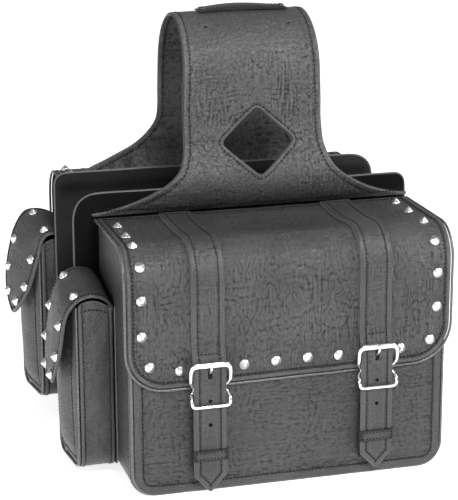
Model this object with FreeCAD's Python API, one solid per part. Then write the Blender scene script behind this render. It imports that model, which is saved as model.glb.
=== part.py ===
import FreeCAD, Part
import os
import math

# Throw-over pair of studded leather saddlebags joined by a yoke.
# Millimetres.  +X runs along the bags (the end pockets are at the -X end),
# +Y runs from the near bag to the far bag, +Z is up.  The two bags stand on
# z = 0 and are mirror images of each other in the plane y = 0.

V = FreeCAD.Vector

# ------------------------------------------------------------------ sizes
SHIFT_X = 32.876     # bag centre line, so that the whole object is centred on x = 0

BAG_HALF_W = 190.0     # half of the bag's 380 mm width
Y_BACK = -67.0         # outer face of the back panel (near bag)
Y_FRONT = -219.5       # outer face of the front panel
WALL = 3.0             # leather with its lining
BAG_TOP = 288.0        # top edge of the bag's back and end walls
FRONT_TOP = 262.0      # top edge of the front wall, below the lid's bend
CORNER_R = 28.0        # lower corners seen from the front
BASE_H = 40.0          # height that the base panel turns up at both ends
WELT_R = 2.3           # piping round the front panel

LID_HALF_W = 192.5
LID_TOP = 294.0
LID_T = 3.0
LID_FRONT = -224.0     # outer face of the lid's front skirt
LID_RIDGE_R = 38.0     # outer radius of the bend over the front edge
LID_LOW = 133.0        # lower edge of the skirt
LID_CORNER_R = 45.0
LID_WELT_R = 2.2
LID_BACK = -69.2       # back edge, beside the hinge line

STRAP_X = 100.0        # straps at plus and minus this
STRAP_HW = 19.0
STRAP_T = 3.0
STRAP_BACK = -231.8    # back of the strap where it runs through the buckle

BAR_Y = -228.45        # centre bar of each buckle
BAR_R = 1.8
# side, centre bar z, tail tip z, tail shoulder z, keeper z, hole z list
STRAPS = [("l", -STRAP_X, 129.5, 4.0, 25.0, 43.5, [115.0, 86.5]),
          ("r", STRAP_X, 132.8, 11.5, 31.0, 46.5, [120.5, 92.0])]

YOKE_R = 66.0          # outer radius of the arch over the seat
YOKE_TOP = 522.0
YOKE_HW = 84.0
YOKE_T = 1.8
LINING_T = 1.6
YOKE_LOW = 295.3
DIAMOND_X, DIAMOND_Z = 3.0, 373.0
DIAMOND_HW, DIAMOND_HH = 42.0, 38.0
LACE_R = 2.2
LACE_X = (-50.0, 52.5)
LACE_DEG = 36.0        # holes lie this far round the arch from its top

BOARD_IN = -57.6       # face of the backer board that meets the machine
BOARD_T = 4.2
BOARD_X = (-218.0, 196.0)
BOARD_Z = (14.0, 321.0)

POCKET_Y = (-150.0, -68.0)
POCKET_X = -236.5      # outer edge of the pocket's gusset
POCKET_LOW = 12.0
POCKET_TOP = 206.0
POCKET_R = 18.0
FLAP_HINGE = (-206.4, 238.5)
FLAP_TIP = 100.0
FAR_POCKET_RISE = 13.0  # the far bag carries its pocket this much higher

STUD_R, STUD_H = 6.0, 5.4

CLIP_W = 16.5


# ------------------------------------------------------------------ helpers
def wire_yz(pts, x):
    return [V(x, p[0], p[1]) for p in pts]


def outline(items, plane, at):
    """Closed wire from points and ('arc', mid, end) or ('spline', [pts]) items in a plane."""
    def P(p):
        if plane == "yz":
            return V(at, p[0], p[1])
        if plane == "xz":
            return V(p[0], at, p[1])
        return V(p[0], p[1], at)
    edges = []
    cur = P(items[0])
    first = cur
    for it in items[1:]:
        if isinstance(it[0], str):
            if it[0] == "arc":
                mid, end = P(it[1]), P(it[2])
                edges.append(Part.Arc(cur, mid, end).toShape())
                cur = end
            else:
                pts = [cur] + [P(q) for q in it[1]]
                c = Part.BSplineCurve()
                c.interpolate(pts)
                edges.append(c.toShape())
                cur = pts[-1]
        else:
            nxt = P(it)
            edges.append(Part.makeLine(cur, nxt))
            cur = nxt
    if (cur - first).Length > 1e-6:
        edges.append(Part.makeLine(cur, first))
    return Part.Wire(edges)


def prism(items, plane, a, b):
    """Outline in a plane, carried from a to b along the plane's normal."""
    w = outline(items, plane, a)
    d = {"yz": V(1, 0, 0), "xz": V(0, 1, 0), "xy": V(0, 0, 1)}[plane]
    s = Part.Face(w).extrude(d * (b - a))
    return s


def box(x0, x1, y0, y1, z0, z1):
    return Part.makeBox(x1 - x0, y1 - y0, z1 - z0, V(x0, y0, z0))


def round_low(x0, x1, z0, z1, r, top_r=0.0):
    """Rectangle with rounded lower corners (and rounded upper ones if asked)."""
    k = r * (1 - math.sqrt(0.5))
    it = [(x0, z0 + r), ("arc", (x0 + k, z0 + k), (x0 + r, z0)), (x1 - r, z0),
          ("arc", (x1 - k, z0 + k), (x1, z0 + r))]
    if top_r:
        t = top_r
        m = t * (1 - math.sqrt(0.5))
        it += [(x1, z1 - t), ("arc", (x1 - m, z1 - m), (x1 - t, z1)), (x0 + t, z1),
               ("arc", (x0 + m, z1 - m), (x0, z1 - t))]
    else:
        it += [(x1, z1), (x0, z1)]
    return it


def tube(edges, r):
    """Round bar along straight and circular edges that meet tangentially."""
    out = None
    for e in edges:
        p, t = e.valueAt(e.FirstParameter), e.tangentAt(e.FirstParameter)
        if isinstance(e.Curve, Part.Circle):
            cv = e.Curve
            disc = Part.Face(Part.Wire([Part.makeCircle(r, p, t)]))
            ax = V(cv.Axis)
            if ax.cross(p - cv.Center).dot(t) < 0:
                ax = ax * -1
            seg = disc.revolve(cv.Center, ax, math.degrees(e.Length / cv.Radius))
        else:
            seg = Part.makeCylinder(r, e.Length, p, t)
        out = seg if out is None else out.fuse(seg)
    return out.removeSplitter()


def arc3(a, m, b):
    return Part.Arc(V(*a), V(*m), V(*b)).toShape()


def line(a, b):
    return Part.makeLine(V(*a), V(*b))


def stud(p, n):
    """Conical stud standing on a surface point p with outward normal n."""
    n = V(*n)
    n.normalize()
    base = V(*p)
    s = Part.makeCylinder(STUD_R, 0.8, base, n)
    s = s.fuse(Part.makeCone(STUD_R, 0.9, STUD_H - 0.8, base + n * 0.8, n))
    return s.removeSplitter()


# ------------------------------------------------------------------ one bag
def make_bag(rise=0.0):
    s = {}
    HW = BAG_HALF_W
    yi = Y_BACK - WALL - 0.2         # where the walls start behind the back panel
    yf = -215.4                      # front edge of the base and end panels

    # bag shell ------------------------------------------------------
    s["front_panel"] = prism(round_low(-HW + 5, HW - 5, 5.0, FRONT_TOP, CORNER_R - 5), "xz", Y_FRONT, Y_FRONT + WALL)
    s["back_panel"] = prism(round_low(-HW, HW, 0.4, BAG_TOP, CORNER_R), "xz", Y_BACK - WALL, Y_BACK)
    # the end walls follow the lid's bend at the front
    re = LID_RIDGE_R - LID_T - 0.6
    ye, ze = LID_FRONT + LID_RIDGE_R, LID_TOP - LID_RIDGE_R
    da = math.sqrt(re * re - (yf - ye) ** 2)
    db = math.sqrt(re * re - (BAG_TOP - ze) ** 2)
    am = 0.5 * (math.atan2(da, ye - yf) + math.atan2(BAG_TOP - ze, db))
    side = [(yi, BASE_H + 0.2), (yi, BAG_TOP), (ye - db, BAG_TOP),
            ("arc", (ye - re * math.cos(am), ze + re * math.sin(am)), (yf, ze + da)), (yf, BASE_H + 0.2)]
    s["end_panel_l"] = prism(side, "yz", -HW, -HW + WALL)
    s["end_panel_r"] = prism(side, "yz", HW - WALL, HW)
    r, w = CORNER_R, WALL
    k, ki = r * (1 - math.sqrt(0.5)), (r - w) * (1 - math.sqrt(0.5))
    s["base_panel"] = prism([(-HW, BASE_H), (-HW, r), ("arc", (-HW + k, k), (-HW + r, 0)), (HW - r, 0),
                             ("arc", (HW - k, k), (HW, r)), (HW, BASE_H), (HW - w, BASE_H), (HW - w, r),
                             ("arc", (HW - w - ki, w + ki), (HW - r, w)), (-HW + r, w),
                             ("arc", (-HW + w + ki, w + ki), (-HW + w, r)), (-HW + w, BASE_H)], "xz", yf, yi)

    # piping: round the front panel, and round the pocket's face --------
    c = HW - WELT_R                   # centre line of the welt
    yw = -217.8
    rr = r - WELT_R
    m = rr * (1 - math.sqrt(0.5))
    wt = FRONT_TOP - 4.0
    welt = tube([line((-c, yw, wt), (-c, yw, r)),
                 arc3((-c, yw, r), (-c + m, yw, WELT_R + m), (-c + rr, yw, WELT_R)),
                 line((-c + rr, yw, WELT_R), (c - rr, yw, WELT_R)),
                 arc3((c - rr, yw, WELT_R), (c - m, yw, WELT_R + m), (c, yw, r)),
                 line((c, yw, r), (c, yw, wt))], WELT_R)
    y0, y1 = POCKET_Y
    px, pr = -238.6, 1.9
    a, b, zl = y0 + pr, y1 - pr, POCKET_LOW + pr
    q = POCKET_R - pr
    qm = q * (1 - math.sqrt(0.5))
    pwelt = tube([line((px, a, POCKET_TOP), (px, a, zl + q)),
                  arc3((px, a, zl + q), (px, a + qm, zl + qm), (px, a + q, zl)),
                  line((px, a + q, zl), (px, b - q, zl)),
                  arc3((px, b - q, zl), (px, b - qm, zl + qm), (px, b, zl + q)),
                  line((px, b, zl + q), (px, b, POCKET_TOP))], pr)
    pwelt.translate(V(0, 0, rise))
    s["bag_piping"] = Part.makeCompound([welt, pwelt])

    # backer board with its pad behind the bag --------------------------
    plate = prism(round_low(BOARD_X[0], BOARD_X[1], BOARD_Z[0], BOARD_Z[1], 20.0, 22.0), "xz",
                  BOARD_IN - BOARD_T, BOARD_IN)
    pad = box(-180, 180, Y_BACK + 0.1, BOARD_IN - BOARD_T + 0.5, 22.0, 284.0)
    s["backer_board"] = plate.fuse(pad).removeSplitter()

    # end pocket ---------------------------------------------------------
    s["pocket_back"] = prism([(-190.2, POCKET_LOW), (-190.2, 222.0), ("arc", (-193.3, 233.2), (-203.0, 238.5)),
                              (-205.9, 238.5), (-205.9, 235.6), (-203.4, 235.6),
                              ("arc", (-195.6, 231.2), (-192.6, 222.0)), (-192.6, POCKET_LOW)],
                             "xz", y0, y1)
    t = 2.4
    # outline of the gusset, seen along X: round lower corners, open top
    outer = prism(round_low(y0, y1, POCKET_LOW, POCKET_TOP, POCKET_R), "yz", POCKET_X, -192.9)
    inner = prism(round_low(y0 + t, y1 - t, POCKET_LOW + t, POCKET_TOP + 5, POCKET_R - t), "yz", POCKET_X - 1, -191.0)
    s["pocket_gusset"] = outer.cut(inner)
    ym = 0.5 * (y0 + y1)
    sheet = prism([(-238.2, y0 + 4.1), ("arc", (-246.8, ym), (-238.2, y1 - 4.1)), (-236.2, y1 - 4.1),
                   ("arc", (-244.8, ym), (-236.2, y0 + 4.1))], "xy", POCKET_LOW, POCKET_TOP + 2)
    mask = prism(round_low(y0 + 4.1, y1 - 4.1, POCKET_LOW + 4.1, POCKET_TOP + 2, POCKET_R - 4.1), "yz", -260, -230)
    s["pocket_panel"] = sheet.common(mask)
    s["pocket_loop_pad"] = box(-248.2, -247.0, ym - 14, ym + 14, 160.0, 184.0)

    # lower halves of the two hidden release clips -------------------------
    socks = []
    for tag, sx, zb, tip, sh, kz, holes in STRAPS:
        b1 = box(sx - CLIP_W, sx + CLIP_W, -228.4, -220.0, 24.0, 64.0)
        b1 = b1.cut(box(sx - 13.4, sx + 13.4, -226.6, -221.8, 37.0, 70.0))
        b1 = b1.cut(box(sx - 12.5, sx + 12.5, -229.0, -219.0, 26.8, 31.0))
        b1 = b1.cut(box(sx - 20, sx + 20, -226.6, -221.8, 42.5, 55.0))
        socks.append(b1)
    s["clip_sockets"] = Part.makeCompound(socks)

    # upper halves: body, bar for the strap and two springy arms with barbs,
    # drawn pressed in so that they pass the socket's mouth
    for tag, sx, zb, tip, sh, kz, holes in STRAPS:
        b1 = box(sx - CLIP_W, sx + CLIP_W, -228.4, -220.2, 64.4, 82.0)
        b1 = b1.cut(box(sx - 12.5, sx + 12.5, -230.0, -219.0, 75.2, 79.4))
        b1 = b1.fuse(box(sx - 2.4, sx + 2.4, -226.1, -222.3, 44.0, 65.0))
        for sg in (-1, 1):
            arm = prism([(sx + sg * 7.6, 65.0), (sx + sg * 8.2, 44.0), (sx + sg * 9.8, 43.0), (sx + sg * 12.9, 49.0),
                         (sx + sg * 12.9, 54.0), (sx + sg * 11.0, 54.6), (sx + sg * 11.6, 65.0)], "xz", -226.1, -222.3)
            b1 = b1.fuse(arm)
        s["clip_tongue_" + tag] = b1.removeSplitter()

    # lid -----------------------------------------------------------------
    R = LID_RIDGE_R
    cy, cz = LID_FRONT + R, LID_TOP - R
    q1, q2 = R * math.sqrt(0.5), (R - LID_T) * math.sqrt(0.5)
    prof = [(LID_BACK, LID_TOP), (cy, LID_TOP), ("arc", (cy - q1, cz + q1), (LID_FRONT, cz)), (LID_FRONT, 100.0),
            (LID_FRONT + LID_T, 100.0), (LID_FRONT + LID_T, cz), ("arc", (cy - q2, cz + q2), (cy, LID_TOP - LID_T)),
            (LID_BACK, LID_TOP - LID_T)]
    s["lid"] = prism(prof, "yz", -LID_HALF_W, LID_HALF_W).common(
        prism(round_low(-LID_HALF_W, LID_HALF_W, LID_LOW, 320.0, LID_CORNER_R), "xz", -240, -60))
    s["lid_stiffener"] = box(-178, 178, -184.0, -76.0, 289.2, 290.9)

    # piping along the lid's two ends and its front edge
    xw = LID_HALF_W + LID_WELT_R + 0.1
    yv, zt = LID_FRONT + 1.2, LID_TOP - 2.4
    rg = R - 2.0
    g = rg * math.sqrt(0.5)
    gy, gz = yv + rg, zt - rg
    zb_, lr = LID_LOW - LID_WELT_R - 0.1, LID_CORNER_R + LID_WELT_R + 0.1
    lm = lr * (1 - math.sqrt(0.5))
    zc = zb_ + lr
    s["lid_piping"] = tube([
        line((-xw, LID_BACK - 1, zt), (-xw, gy, zt)),
        arc3((-xw, gy, zt), (-xw, gy - g, gz + g), (-xw, yv, gz)),
        line((-xw, yv, gz), (-xw, yv, zc)),
        arc3((-xw, yv, zc), (-xw + lm, yv, zb_ + lm), (-xw + lr, yv, zb_)),
        line((-xw + lr, yv, zb_), (xw - lr, yv, zb_)),
        arc3((xw - lr, yv, zb_), (xw - lm, yv, zb_ + lm), (xw, yv, zc)),
        line((xw, yv, zc), (xw, yv, gz)),
        arc3((xw, yv, gz), (xw, gy - g, gz + g), (xw, gy, zt)),
        line((xw, gy, zt), (xw, LID_BACK - 1, zt))], LID_WELT_R)

    # studs: along both ends of the lid and its front edge
    st = []
    for x, z in [(-176, 275), (-176, 237), (-176, 195), (176, 241), (176, 200), (174, 278)]:
        if z > cz:
            a_ = math.asin((z - cz) / (R + 0.5))
            st.append(stud((x, cy - (R + 0.55) * math.cos(a_), cz + (R + 0.55) * math.sin(a_)), (0, -math.cos(a_), math.sin(a_))))
        else:
            st.append(stud((x, LID_FRONT - 0.05, z), (0, -1, 0)))
    for x, z in [(-167.5, 158.5), (168.5, 160.5), (-132.3, 151.5), (-95, 151.5), (-57.5, 152), (-19.5, 152.5),
                 (18.5, 153), (56, 152.5), (94, 153), (131.6, 153.5)]:
        st.append(stud((x, LID_FRONT - 0.05, z), (0, -1, 0)))
    for x, y in [(-177, -113), (-178, -160), (171, -97), (171, -140)]:
        st.append(stud((x, y, LID_TOP + 0.05), (0, 0, 1)))
    for x, y in [(-178.5, -196), (170, -191)]:
        a_ = math.acos((cy - y) / R)
        st.append(stud((x, cy - (R + 0.55) * math.cos(a_), cz + (R + 0.55) * math.sin(a_)), (0, -math.cos(a_), math.sin(a_))))
    s["lid_studs"] = Part.makeCompound(st)

    # straps sewn over the lid, free below it ------------------------------
    straps, chapes, keepers = [], [], []
    Ro, Ri = R + 0.1 + STRAP_T, R + 0.1
    o = math.sqrt(0.5)
    for tag, sx, zb, tip, sh, kz, holes in STRAPS:
        pr_ = [(-84.0, LID_TOP + 0.1), (cy, LID_TOP + 0.1), ("arc", (cy - Ri * o, cz + Ri * o), (cy - Ri, cz)),
               (cy - Ri, 181.0), (STRAP_BACK, 154.0), (STRAP_BACK, 0.0), (STRAP_BACK - STRAP_T, 0.0),
               (STRAP_BACK - STRAP_T, 154.6), (cy - Ro, 181.6), (cy - Ro, cz),
               ("arc", (cy - Ro * o, cz + Ro * o), (cy, cz + Ro)), (-84.0, cz + Ro)]
        b1 = prism(pr_, "yz", sx - STRAP_HW, sx + STRAP_HW)
        b1 = b1.common(prism([(sx - STRAP_HW, 310), (sx - STRAP_HW, sh), (sx, tip), (sx + STRAP_HW, sh),
                              (sx + STRAP_HW, 310)], "xz", -240, -60))
        for h in holes:
            b1 = b1.cut(Part.makeCylinder(2.2, 10, V(sx, STRAP_BACK - 6, h), V(0, 1, 0)))
        # long hole where the prong comes through
        hz = zb + 17.4
        b1 = b1.cut(box(sx - 2.4, sx + 2.4, STRAP_BACK - 6, STRAP_BACK + 3, hz - 3.2, hz + 3.6))
        for e in (-3.2, 3.6):
            b1 = b1.cut(Part.makeCylinder(2.4, 9, V(sx, STRAP_BACK - 6, hz + e), V(0, 1, 0)))
        straps.append(b1)
        # turned leather that holds the centre bar, slotted for the prong
        ring = Part.makeCylinder(3.1, 32, V(sx - 16, BAR_Y, zb), V(1, 0, 0))
        ring = ring.fuse(box(sx - 16, sx + 16, BAR_Y - 3.1, BAR_Y - 0.6, 108.0, zb))
        ring = ring.cut(Part.makeCylinder(2.1, 40, V(sx - 20, BAR_Y, zb), V(1, 0, 0)))
        ring = ring.cut(box(sx - 3.8, sx + 3.8, -240, -220, 116.0, 140.0))
        chapes.append(ring.removeSplitter())
        kp = box(sx - 20.8, sx + 20.8, STRAP_BACK - STRAP_T - 1.8, STRAP_BACK + 1.8, kz, kz + 13.0)
        kp = kp.cut(box(sx - 19.3, sx + 19.3, STRAP_BACK - STRAP_T - 0.3, STRAP_BACK + 0.3, kz - 1, kz + 14.0))
        keepers.append(kp)
    s["lid_straps"] = Part.makeCompound(straps)
    s["chapes"] = Part.makeCompound(chapes)
    s["keepers"] = Part.makeCompound(keepers)

    # buckles ----------------------------------------------------------------
    out = [(17.0, 32.5), (22.6, 29.6), (24.7, 25.0), (24.7, 10.0), (23.2, 4.6), (19.9, 0.0), (22.7, -5.0),
           (24.3, -10.0), (23.9, -15.6), (21.0, -19.6), (16.5, -21.0)]
    up = [(15.6, 26.6), (20.0, 24.9), (21.3, 22.0), (21.3, 10.6), (20.4, 6.4), (17.4, 2.0)]
    dn = [(17.4, -2.0), (19.9, -5.8), (21.1, -10.2), (20.7, -14.3), (18.4, -16.8), (15.6, -17.6)]

    def sym(pts, sx, zb):
        right = [(sx + p[0], zb + p[1]) for p in pts]
        left = [(sx - p[0], zb + p[1]) for p in reversed(pts)]
        return right + left

    for tag, sx, zb, tip, sh, kz, holes in STRAPS:
        f = prism(sym(out, sx, zb), "xz", -250, -215)
        f = f.cut(prism(sym(up, sx, zb), "xz", -251, -214))
        f = f.cut(prism(sym(dn, sx, zb), "xz", -251, -214))
        # the frame bows forward above and below the centre bar
        ya, yb = BAR_Y - 1.9, BAR_Y + 1.8
        slab = prism([(-239.6, zb + 33), (-239.6, zb + 25), (ya, zb + 2.6), (ya, zb - 4.8), (-239.4, zb - 15.5),
                      (-239.4, zb - 22), (-236.4, zb - 22), (-236.4, zb - 16.6), (yb, zb - 3.6),
                      (yb, zb + 2.4), (-236.4, zb + 23.5), (-236.4, zb + 33)], "yz", sx - 30, sx + 30)
        f = f.common(slab)
        f = f.cut(box(sx - 17.0, sx + 17.0, -232, -225, zb - 2.2, zb + 2.2))
        f = f.fuse(Part.makeCylinder(BAR_R, 35.0, V(sx - 17.5, BAR_Y, zb), V(1, 0, 0)))
        s["buckle_frame_" + tag] = f.removeSplitter()
        # prong: ring round the bar, shank through the strap, tip over the top bar
        p = prism([(BAR_Y, zb + 3.0), (BAR_Y - 2.8, zb + 1.0), (-231.2, zb + 13.0), (-236.8, zb + 18.6),
                   (-242.2, zb + 25.8), (-242.2, zb + 33.0), (-239.9, zb + 33.4), (-239.9, zb + 26.2),
                   (-234.8, zb + 19.9), (-228.9, zb + 14.2)], "yz", sx - 1.5, sx + 1.5)
        p = p.fuse(Part.makeCylinder(3.0, 6.0, V(sx - 3.0, BAR_Y, zb), V(1, 0, 0)))
        p = p.cut(Part.makeCylinder(BAR_R + 0.1, 10.0, V(sx - 5.0, BAR_Y, zb), V(1, 0, 0)))
        s["buckle_prong_" + tag] = p.removeSplitter()

    # pocket flap ------------------------------------------------------------
    fx, fz = FLAP_HINGE
    prof = [(fx - 0.4, fz), (-222.0, 240.3), ("arc", (-241.5, 230.5), (-250.3, 205.0)), (-260.0, 90.0),
            (-257.0, 89.6), (-247.3, 204.6), ("arc", (-239.1, 228.3), (-221.8, 237.4)), (fx - 0.4, fz - 2.9)]
    shp = prism(prof, "xz", y0 - 0.5, y1 + 0.5)
    out_yz = prism([(ym - 41.5, 250), (ym - 41.5, 200), (ym - 38.5, 160), (ym - 30, 122), ("arc", (ym, FLAP_TIP), (ym + 30, 122)),
                    (ym + 38.5, 160), (ym + 41.5, 200), (ym + 41.5, 250)], "yz", -270, -190)
    s["pocket_flap"] = shp.common(out_yz)
    s["pocket_hook_pad"] = box(-249.6, -248.4, ym - 12, ym + 12, 162.0, 172.0).cut(
        prism([(-247.3 - 2.0, 204.6 - 23.7), (-257.0, 89.6), (-262, 89.6), (-262, 204.6), (-249.3, 204.6)], "xz", -160, -60))
    st = []
    nx, nz = -115.0, -9.7            # outward normal of the hanging part
    ln = math.hypot(nx, nz)
    nx, nz = nx / ln, -nz / ln * -1

    def flap_x(z):
        return -250.3 - (205.0 - z) * 9.7 / 115.0

    nrm = (-math.cos(math.atan2(9.7, 115.0)), 0, math.sin(math.atan2(9.7, 115.0)))
    for dy, z in [(-31, 192), (31, 192), (-29, 156), (29, 156), (-15, 123), (15, 123)]:
        st.append(stud((flap_x(z) - 0.08, ym + dy, z), nrm))
    # the top pair stands on the bend
    for dy in (-31, 31):
        st.append(stud((-237.55, ym + dy, 234.6), (-0.66, 0, 0.75)))
    s["pocket_flap_studs"] = Part.makeCompound(st)
    for n in ("pocket_back", "pocket_gusset", "pocket_panel", "pocket_loop_pad", "pocket_flap", "pocket_hook_pad",
              "pocket_flap_studs"):
        s[n].translate(V(0, 0, rise))
    return s


# ------------------------------------------------------------------ yoke and handle
def yoke_sheet(r_out, r_in, low):
    zc = YOKE_TOP - YOKE_R
    prof = [(-r_out, low), (-r_out, zc), ("arc", (0, zc + r_out), (r_out, zc)), (r_out, low), (r_in, low), (r_in, zc),
            ("arc", (0, zc + r_in), (-r_in, zc)), (-r_in, low)]
    sh = prism(prof, "yz", -210, 210)
    flare = [(86.0, 368), (93.0, 348), (106.0, 333.5), (122.0, 322.5), (142.0, 311.5), (162.0, 303.5), (180.0, 298.3),
             (197.0, 295.6)]
    right = [(YOKE_HW, 530), (YOKE_HW, 392), ("spline", flare), (197.0, low - 1), (-197.0, low - 1), (-197.0, 295.6),
             ("spline", [(-p[0], p[1]) for p in reversed(flare)][1:] + [(-YOKE_HW, 392)]), (-YOKE_HW, 530)]
    sh = sh.common(prism(right, "xz", -80, 80))
    k = 0.10
    cx, cz, a, b = DIAMOND_X, DIAMOND_Z, DIAMOND_HW, DIAMOND_HH
    d = [(cx + a * (1 - k), cz - b * k), ("arc", (cx + a * (1 - k * 0.45), cz), (cx + a * (1 - k), cz + b * k)),
         (cx + a * k, cz + b * (1 - k)), ("arc", (cx, cz + b * (1 - k * 0.45)), (cx - a * k, cz + b * (1 - k))),
         (cx - a * (1 - k), cz + b * k), ("arc", (cx - a * (1 - k * 0.45), cz), (cx - a * (1 - k), cz - b * k)),
         (cx - a * k, cz - b * (1 - k)), ("arc", (cx, cz - b * (1 - k * 0.45)), (cx + a * k, cz - b * (1 - k)))]
    sh = sh.cut(prism(d, "xz", -80, 0))      # only the near side has the cut-out
    return sh


def make_yoke():
    s = {}
    zc = YOKE_TOP - YOKE_R
    outer = yoke_sheet(YOKE_R, YOKE_R - YOKE_T, YOKE_LOW)
    lining = yoke_sheet(YOKE_R - YOKE_T - 0.1, YOKE_R - YOKE_T - 0.1 - LINING_T, YOKE_LOW + 0.4)
    for x in LACE_X:
        for sg in (-1, 1):
            t = math.radians(LACE_DEG)
            d = V(0, sg * math.sin(t), math.cos(t))
            p = V(x, 0, zc) + d * 50
            outer = outer.cut(Part.makeCylinder(LACE_R, 30, p, d))
            lining = lining.cut(Part.makeCylinder(LACE_R + 1.6, 30, p, d))
    s["yoke_leather"] = outer
    s["yoke_lining"] = lining
    # carry handle: a flat strap that rises between two fixed ends
    hx, hw = 3.0, 12.5
    zt = YOKE_TOP + 0.15
    s["handle"] = prism([(hx - 58, zt), (hx - 44, zt), ("arc", (hx, zt + 6.3), (hx + 44, zt)), (hx + 58, zt),
                         (hx + 58, zt + 3.0), (hx + 43.6, zt + 3.0), ("arc", (hx, zt + 9.3), (hx - 43.6, zt + 3.0)),
                         (hx - 58, zt + 3.0)], "xz", -hw, hw)
    riv = []
    for x in (hx - 51, hx + 51):
        h = Part.makeCylinder(4.2, 0.9, V(x, 0, zt + 3.05))
        h = h.fuse(Part.makeCone(4.2, 2.4, 1.1, V(x, 0, zt + 3.95)))
        riv.append(h.removeSplitter())
    s["handle_rivets"] = Part.makeCompound(riv)
    return s


def main():
    os.makedirs("parts", exist_ok=True)
    parts = {}
    for name, sh in make_bag().items():
        n = sh.copy()
        n.translate(V(SHIFT_X, 0, 0))
        parts["near_" + name] = n
    for name, sh in make_bag(FAR_POCKET_RISE).items():
        n = sh.copy()
        n.translate(V(SHIFT_X, 0, 0))
        parts["far_" + name] = n.mirror(V(0, 0, 0), V(0, 1, 0))
    for name, sh in make_yoke().items():
        n = sh.copy()
        n.translate(V(SHIFT_X, 0, 0))
        parts[name] = n
    bb = None
    for name in sorted(parts):
        sh = parts[name]
        sols = sh.Solids
        ok = all(q.isValid() for q in sols) and len(sols) > 0
        if len(sols) == 1:
            sh = sols[0]
        else:
            sh = Part.makeCompound(sols)
        sh.exportStep(os.path.join("parts", name + ".step"))
        b = sh.BoundBox
        if bb is None:
            bb = FreeCAD.BoundBox(b)
        else:
            bb.add(b)
        print("%-26s solids %2d valid %s vol %9.1f  x %.1f..%.1f y %.1f..%.1f z %.1f..%.1f" % (
            name, len(sols), ok, sh.Volume, b.XMin, b.XMax, b.YMin, b.YMax, b.ZMin, b.ZMax))
    print("nodes", len(parts), "box", [round(v, 3) for v in (bb.XMin, bb.XMax, bb.YMin, bb.YMax, bb.ZMin, bb.ZMax)])


main()
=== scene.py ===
import math
import bpy
import numpy as np
from mathutils import Vector, Matrix
from mathutils.geometry import delaunay_2d_cdt


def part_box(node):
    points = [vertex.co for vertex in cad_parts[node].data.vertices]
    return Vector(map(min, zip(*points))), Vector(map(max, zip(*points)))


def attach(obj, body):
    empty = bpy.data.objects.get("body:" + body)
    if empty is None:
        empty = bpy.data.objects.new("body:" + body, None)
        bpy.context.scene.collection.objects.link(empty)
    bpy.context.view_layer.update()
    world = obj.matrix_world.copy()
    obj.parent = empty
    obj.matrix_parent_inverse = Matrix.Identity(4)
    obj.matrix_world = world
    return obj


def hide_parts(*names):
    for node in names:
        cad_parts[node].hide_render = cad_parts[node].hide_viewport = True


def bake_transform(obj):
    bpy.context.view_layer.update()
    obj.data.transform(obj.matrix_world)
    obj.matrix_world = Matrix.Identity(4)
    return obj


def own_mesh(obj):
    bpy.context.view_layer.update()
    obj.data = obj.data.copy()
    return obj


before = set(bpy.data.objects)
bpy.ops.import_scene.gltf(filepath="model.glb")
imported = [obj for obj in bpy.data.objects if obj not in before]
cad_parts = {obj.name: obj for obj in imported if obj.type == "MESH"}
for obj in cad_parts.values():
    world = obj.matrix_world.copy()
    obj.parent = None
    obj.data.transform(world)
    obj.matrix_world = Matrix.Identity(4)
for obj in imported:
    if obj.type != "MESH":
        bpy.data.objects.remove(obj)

for _o in [bpy.data.objects.get(k) for k in ("Cube", "Light", "Camera")]:
    if _o is not None:
        bpy.data.objects.remove(_o)
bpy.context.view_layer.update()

# Everything below is laid out in millimetres for the near bag, with x counted
# from the bag's own centre line and y negative; the far bag is its mirror.
_lo, _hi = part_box("near_back_panel")
BX = 500.0 * (_lo.x + _hi.x)
NOD = lambda n: tuple(np.array(c, float) * 1000.0 - np.array([BX, 0, 0]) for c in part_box(n))


# =============================================================== numeric tools
def _hash(ix, iy, seed):
    h = (ix.astype(np.int64) * 374761393 + iy.astype(np.int64) * 668265263 + np.int64(seed) * 974634777) & 0xFFFFFFFF
    h = ((h ^ (h >> 13)) * 1274126177) & 0xFFFFFFFF
    h = ((h ^ (h >> 15)) * 2246822519) & 0xFFFFFFFF
    return (h ^ (h >> 16)) & 0xFFFFFFFF


def gn(x, y, seed):
    """Gradient noise, about -0.7 to 0.7."""
    x = np.asarray(x, float); y = np.asarray(y, float)
    ix, iy = np.floor(x), np.floor(y)
    fx, fy = x - ix, y - iy
    u, v = fx * fx * fx * (fx * (fx * 6 - 15) + 10), fy * fy * fy * (fy * (fy * 6 - 15) + 10)

    def g(dx, dy):
        a = _hash(ix + dx, iy + dy, seed) * (2 * math.pi / 4294967296.0)
        return np.cos(a) * (fx - dx) + np.sin(a) * (fy - dy)
    return (g(0, 0) * (1 - u) + g(1, 0) * u) * (1 - v) + (g(0, 1) * (1 - u) + g(1, 1) * u) * v


def worley(x, y, seed):
    """Nearest and second nearest distances to jittered points."""
    ix, iy = np.floor(x), np.floor(y)
    f1 = np.full(np.shape(x), 9.0); f2 = f1.copy()
    for dx in (-1, 0, 1):
        for dy in (-1, 0, 1):
            cx, cy = ix + dx, iy + dy
            px = cx + _hash(cx, cy, seed) / 4294967296.0
            py = cy + _hash(cx, cy, seed + 77) / 4294967296.0
            d = np.hypot(px - x, py - y)
            m = d < f1
            f2 = np.where(m, f1, np.minimum(f2, d))
            f1 = np.where(m, d, f1)
    return f1, f2


def ss(a, b, x):
    t = np.clip((np.asarray(x, float) - a) / (b - a), 0, 1)
    return t * t * (3 - 2 * t)


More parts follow.
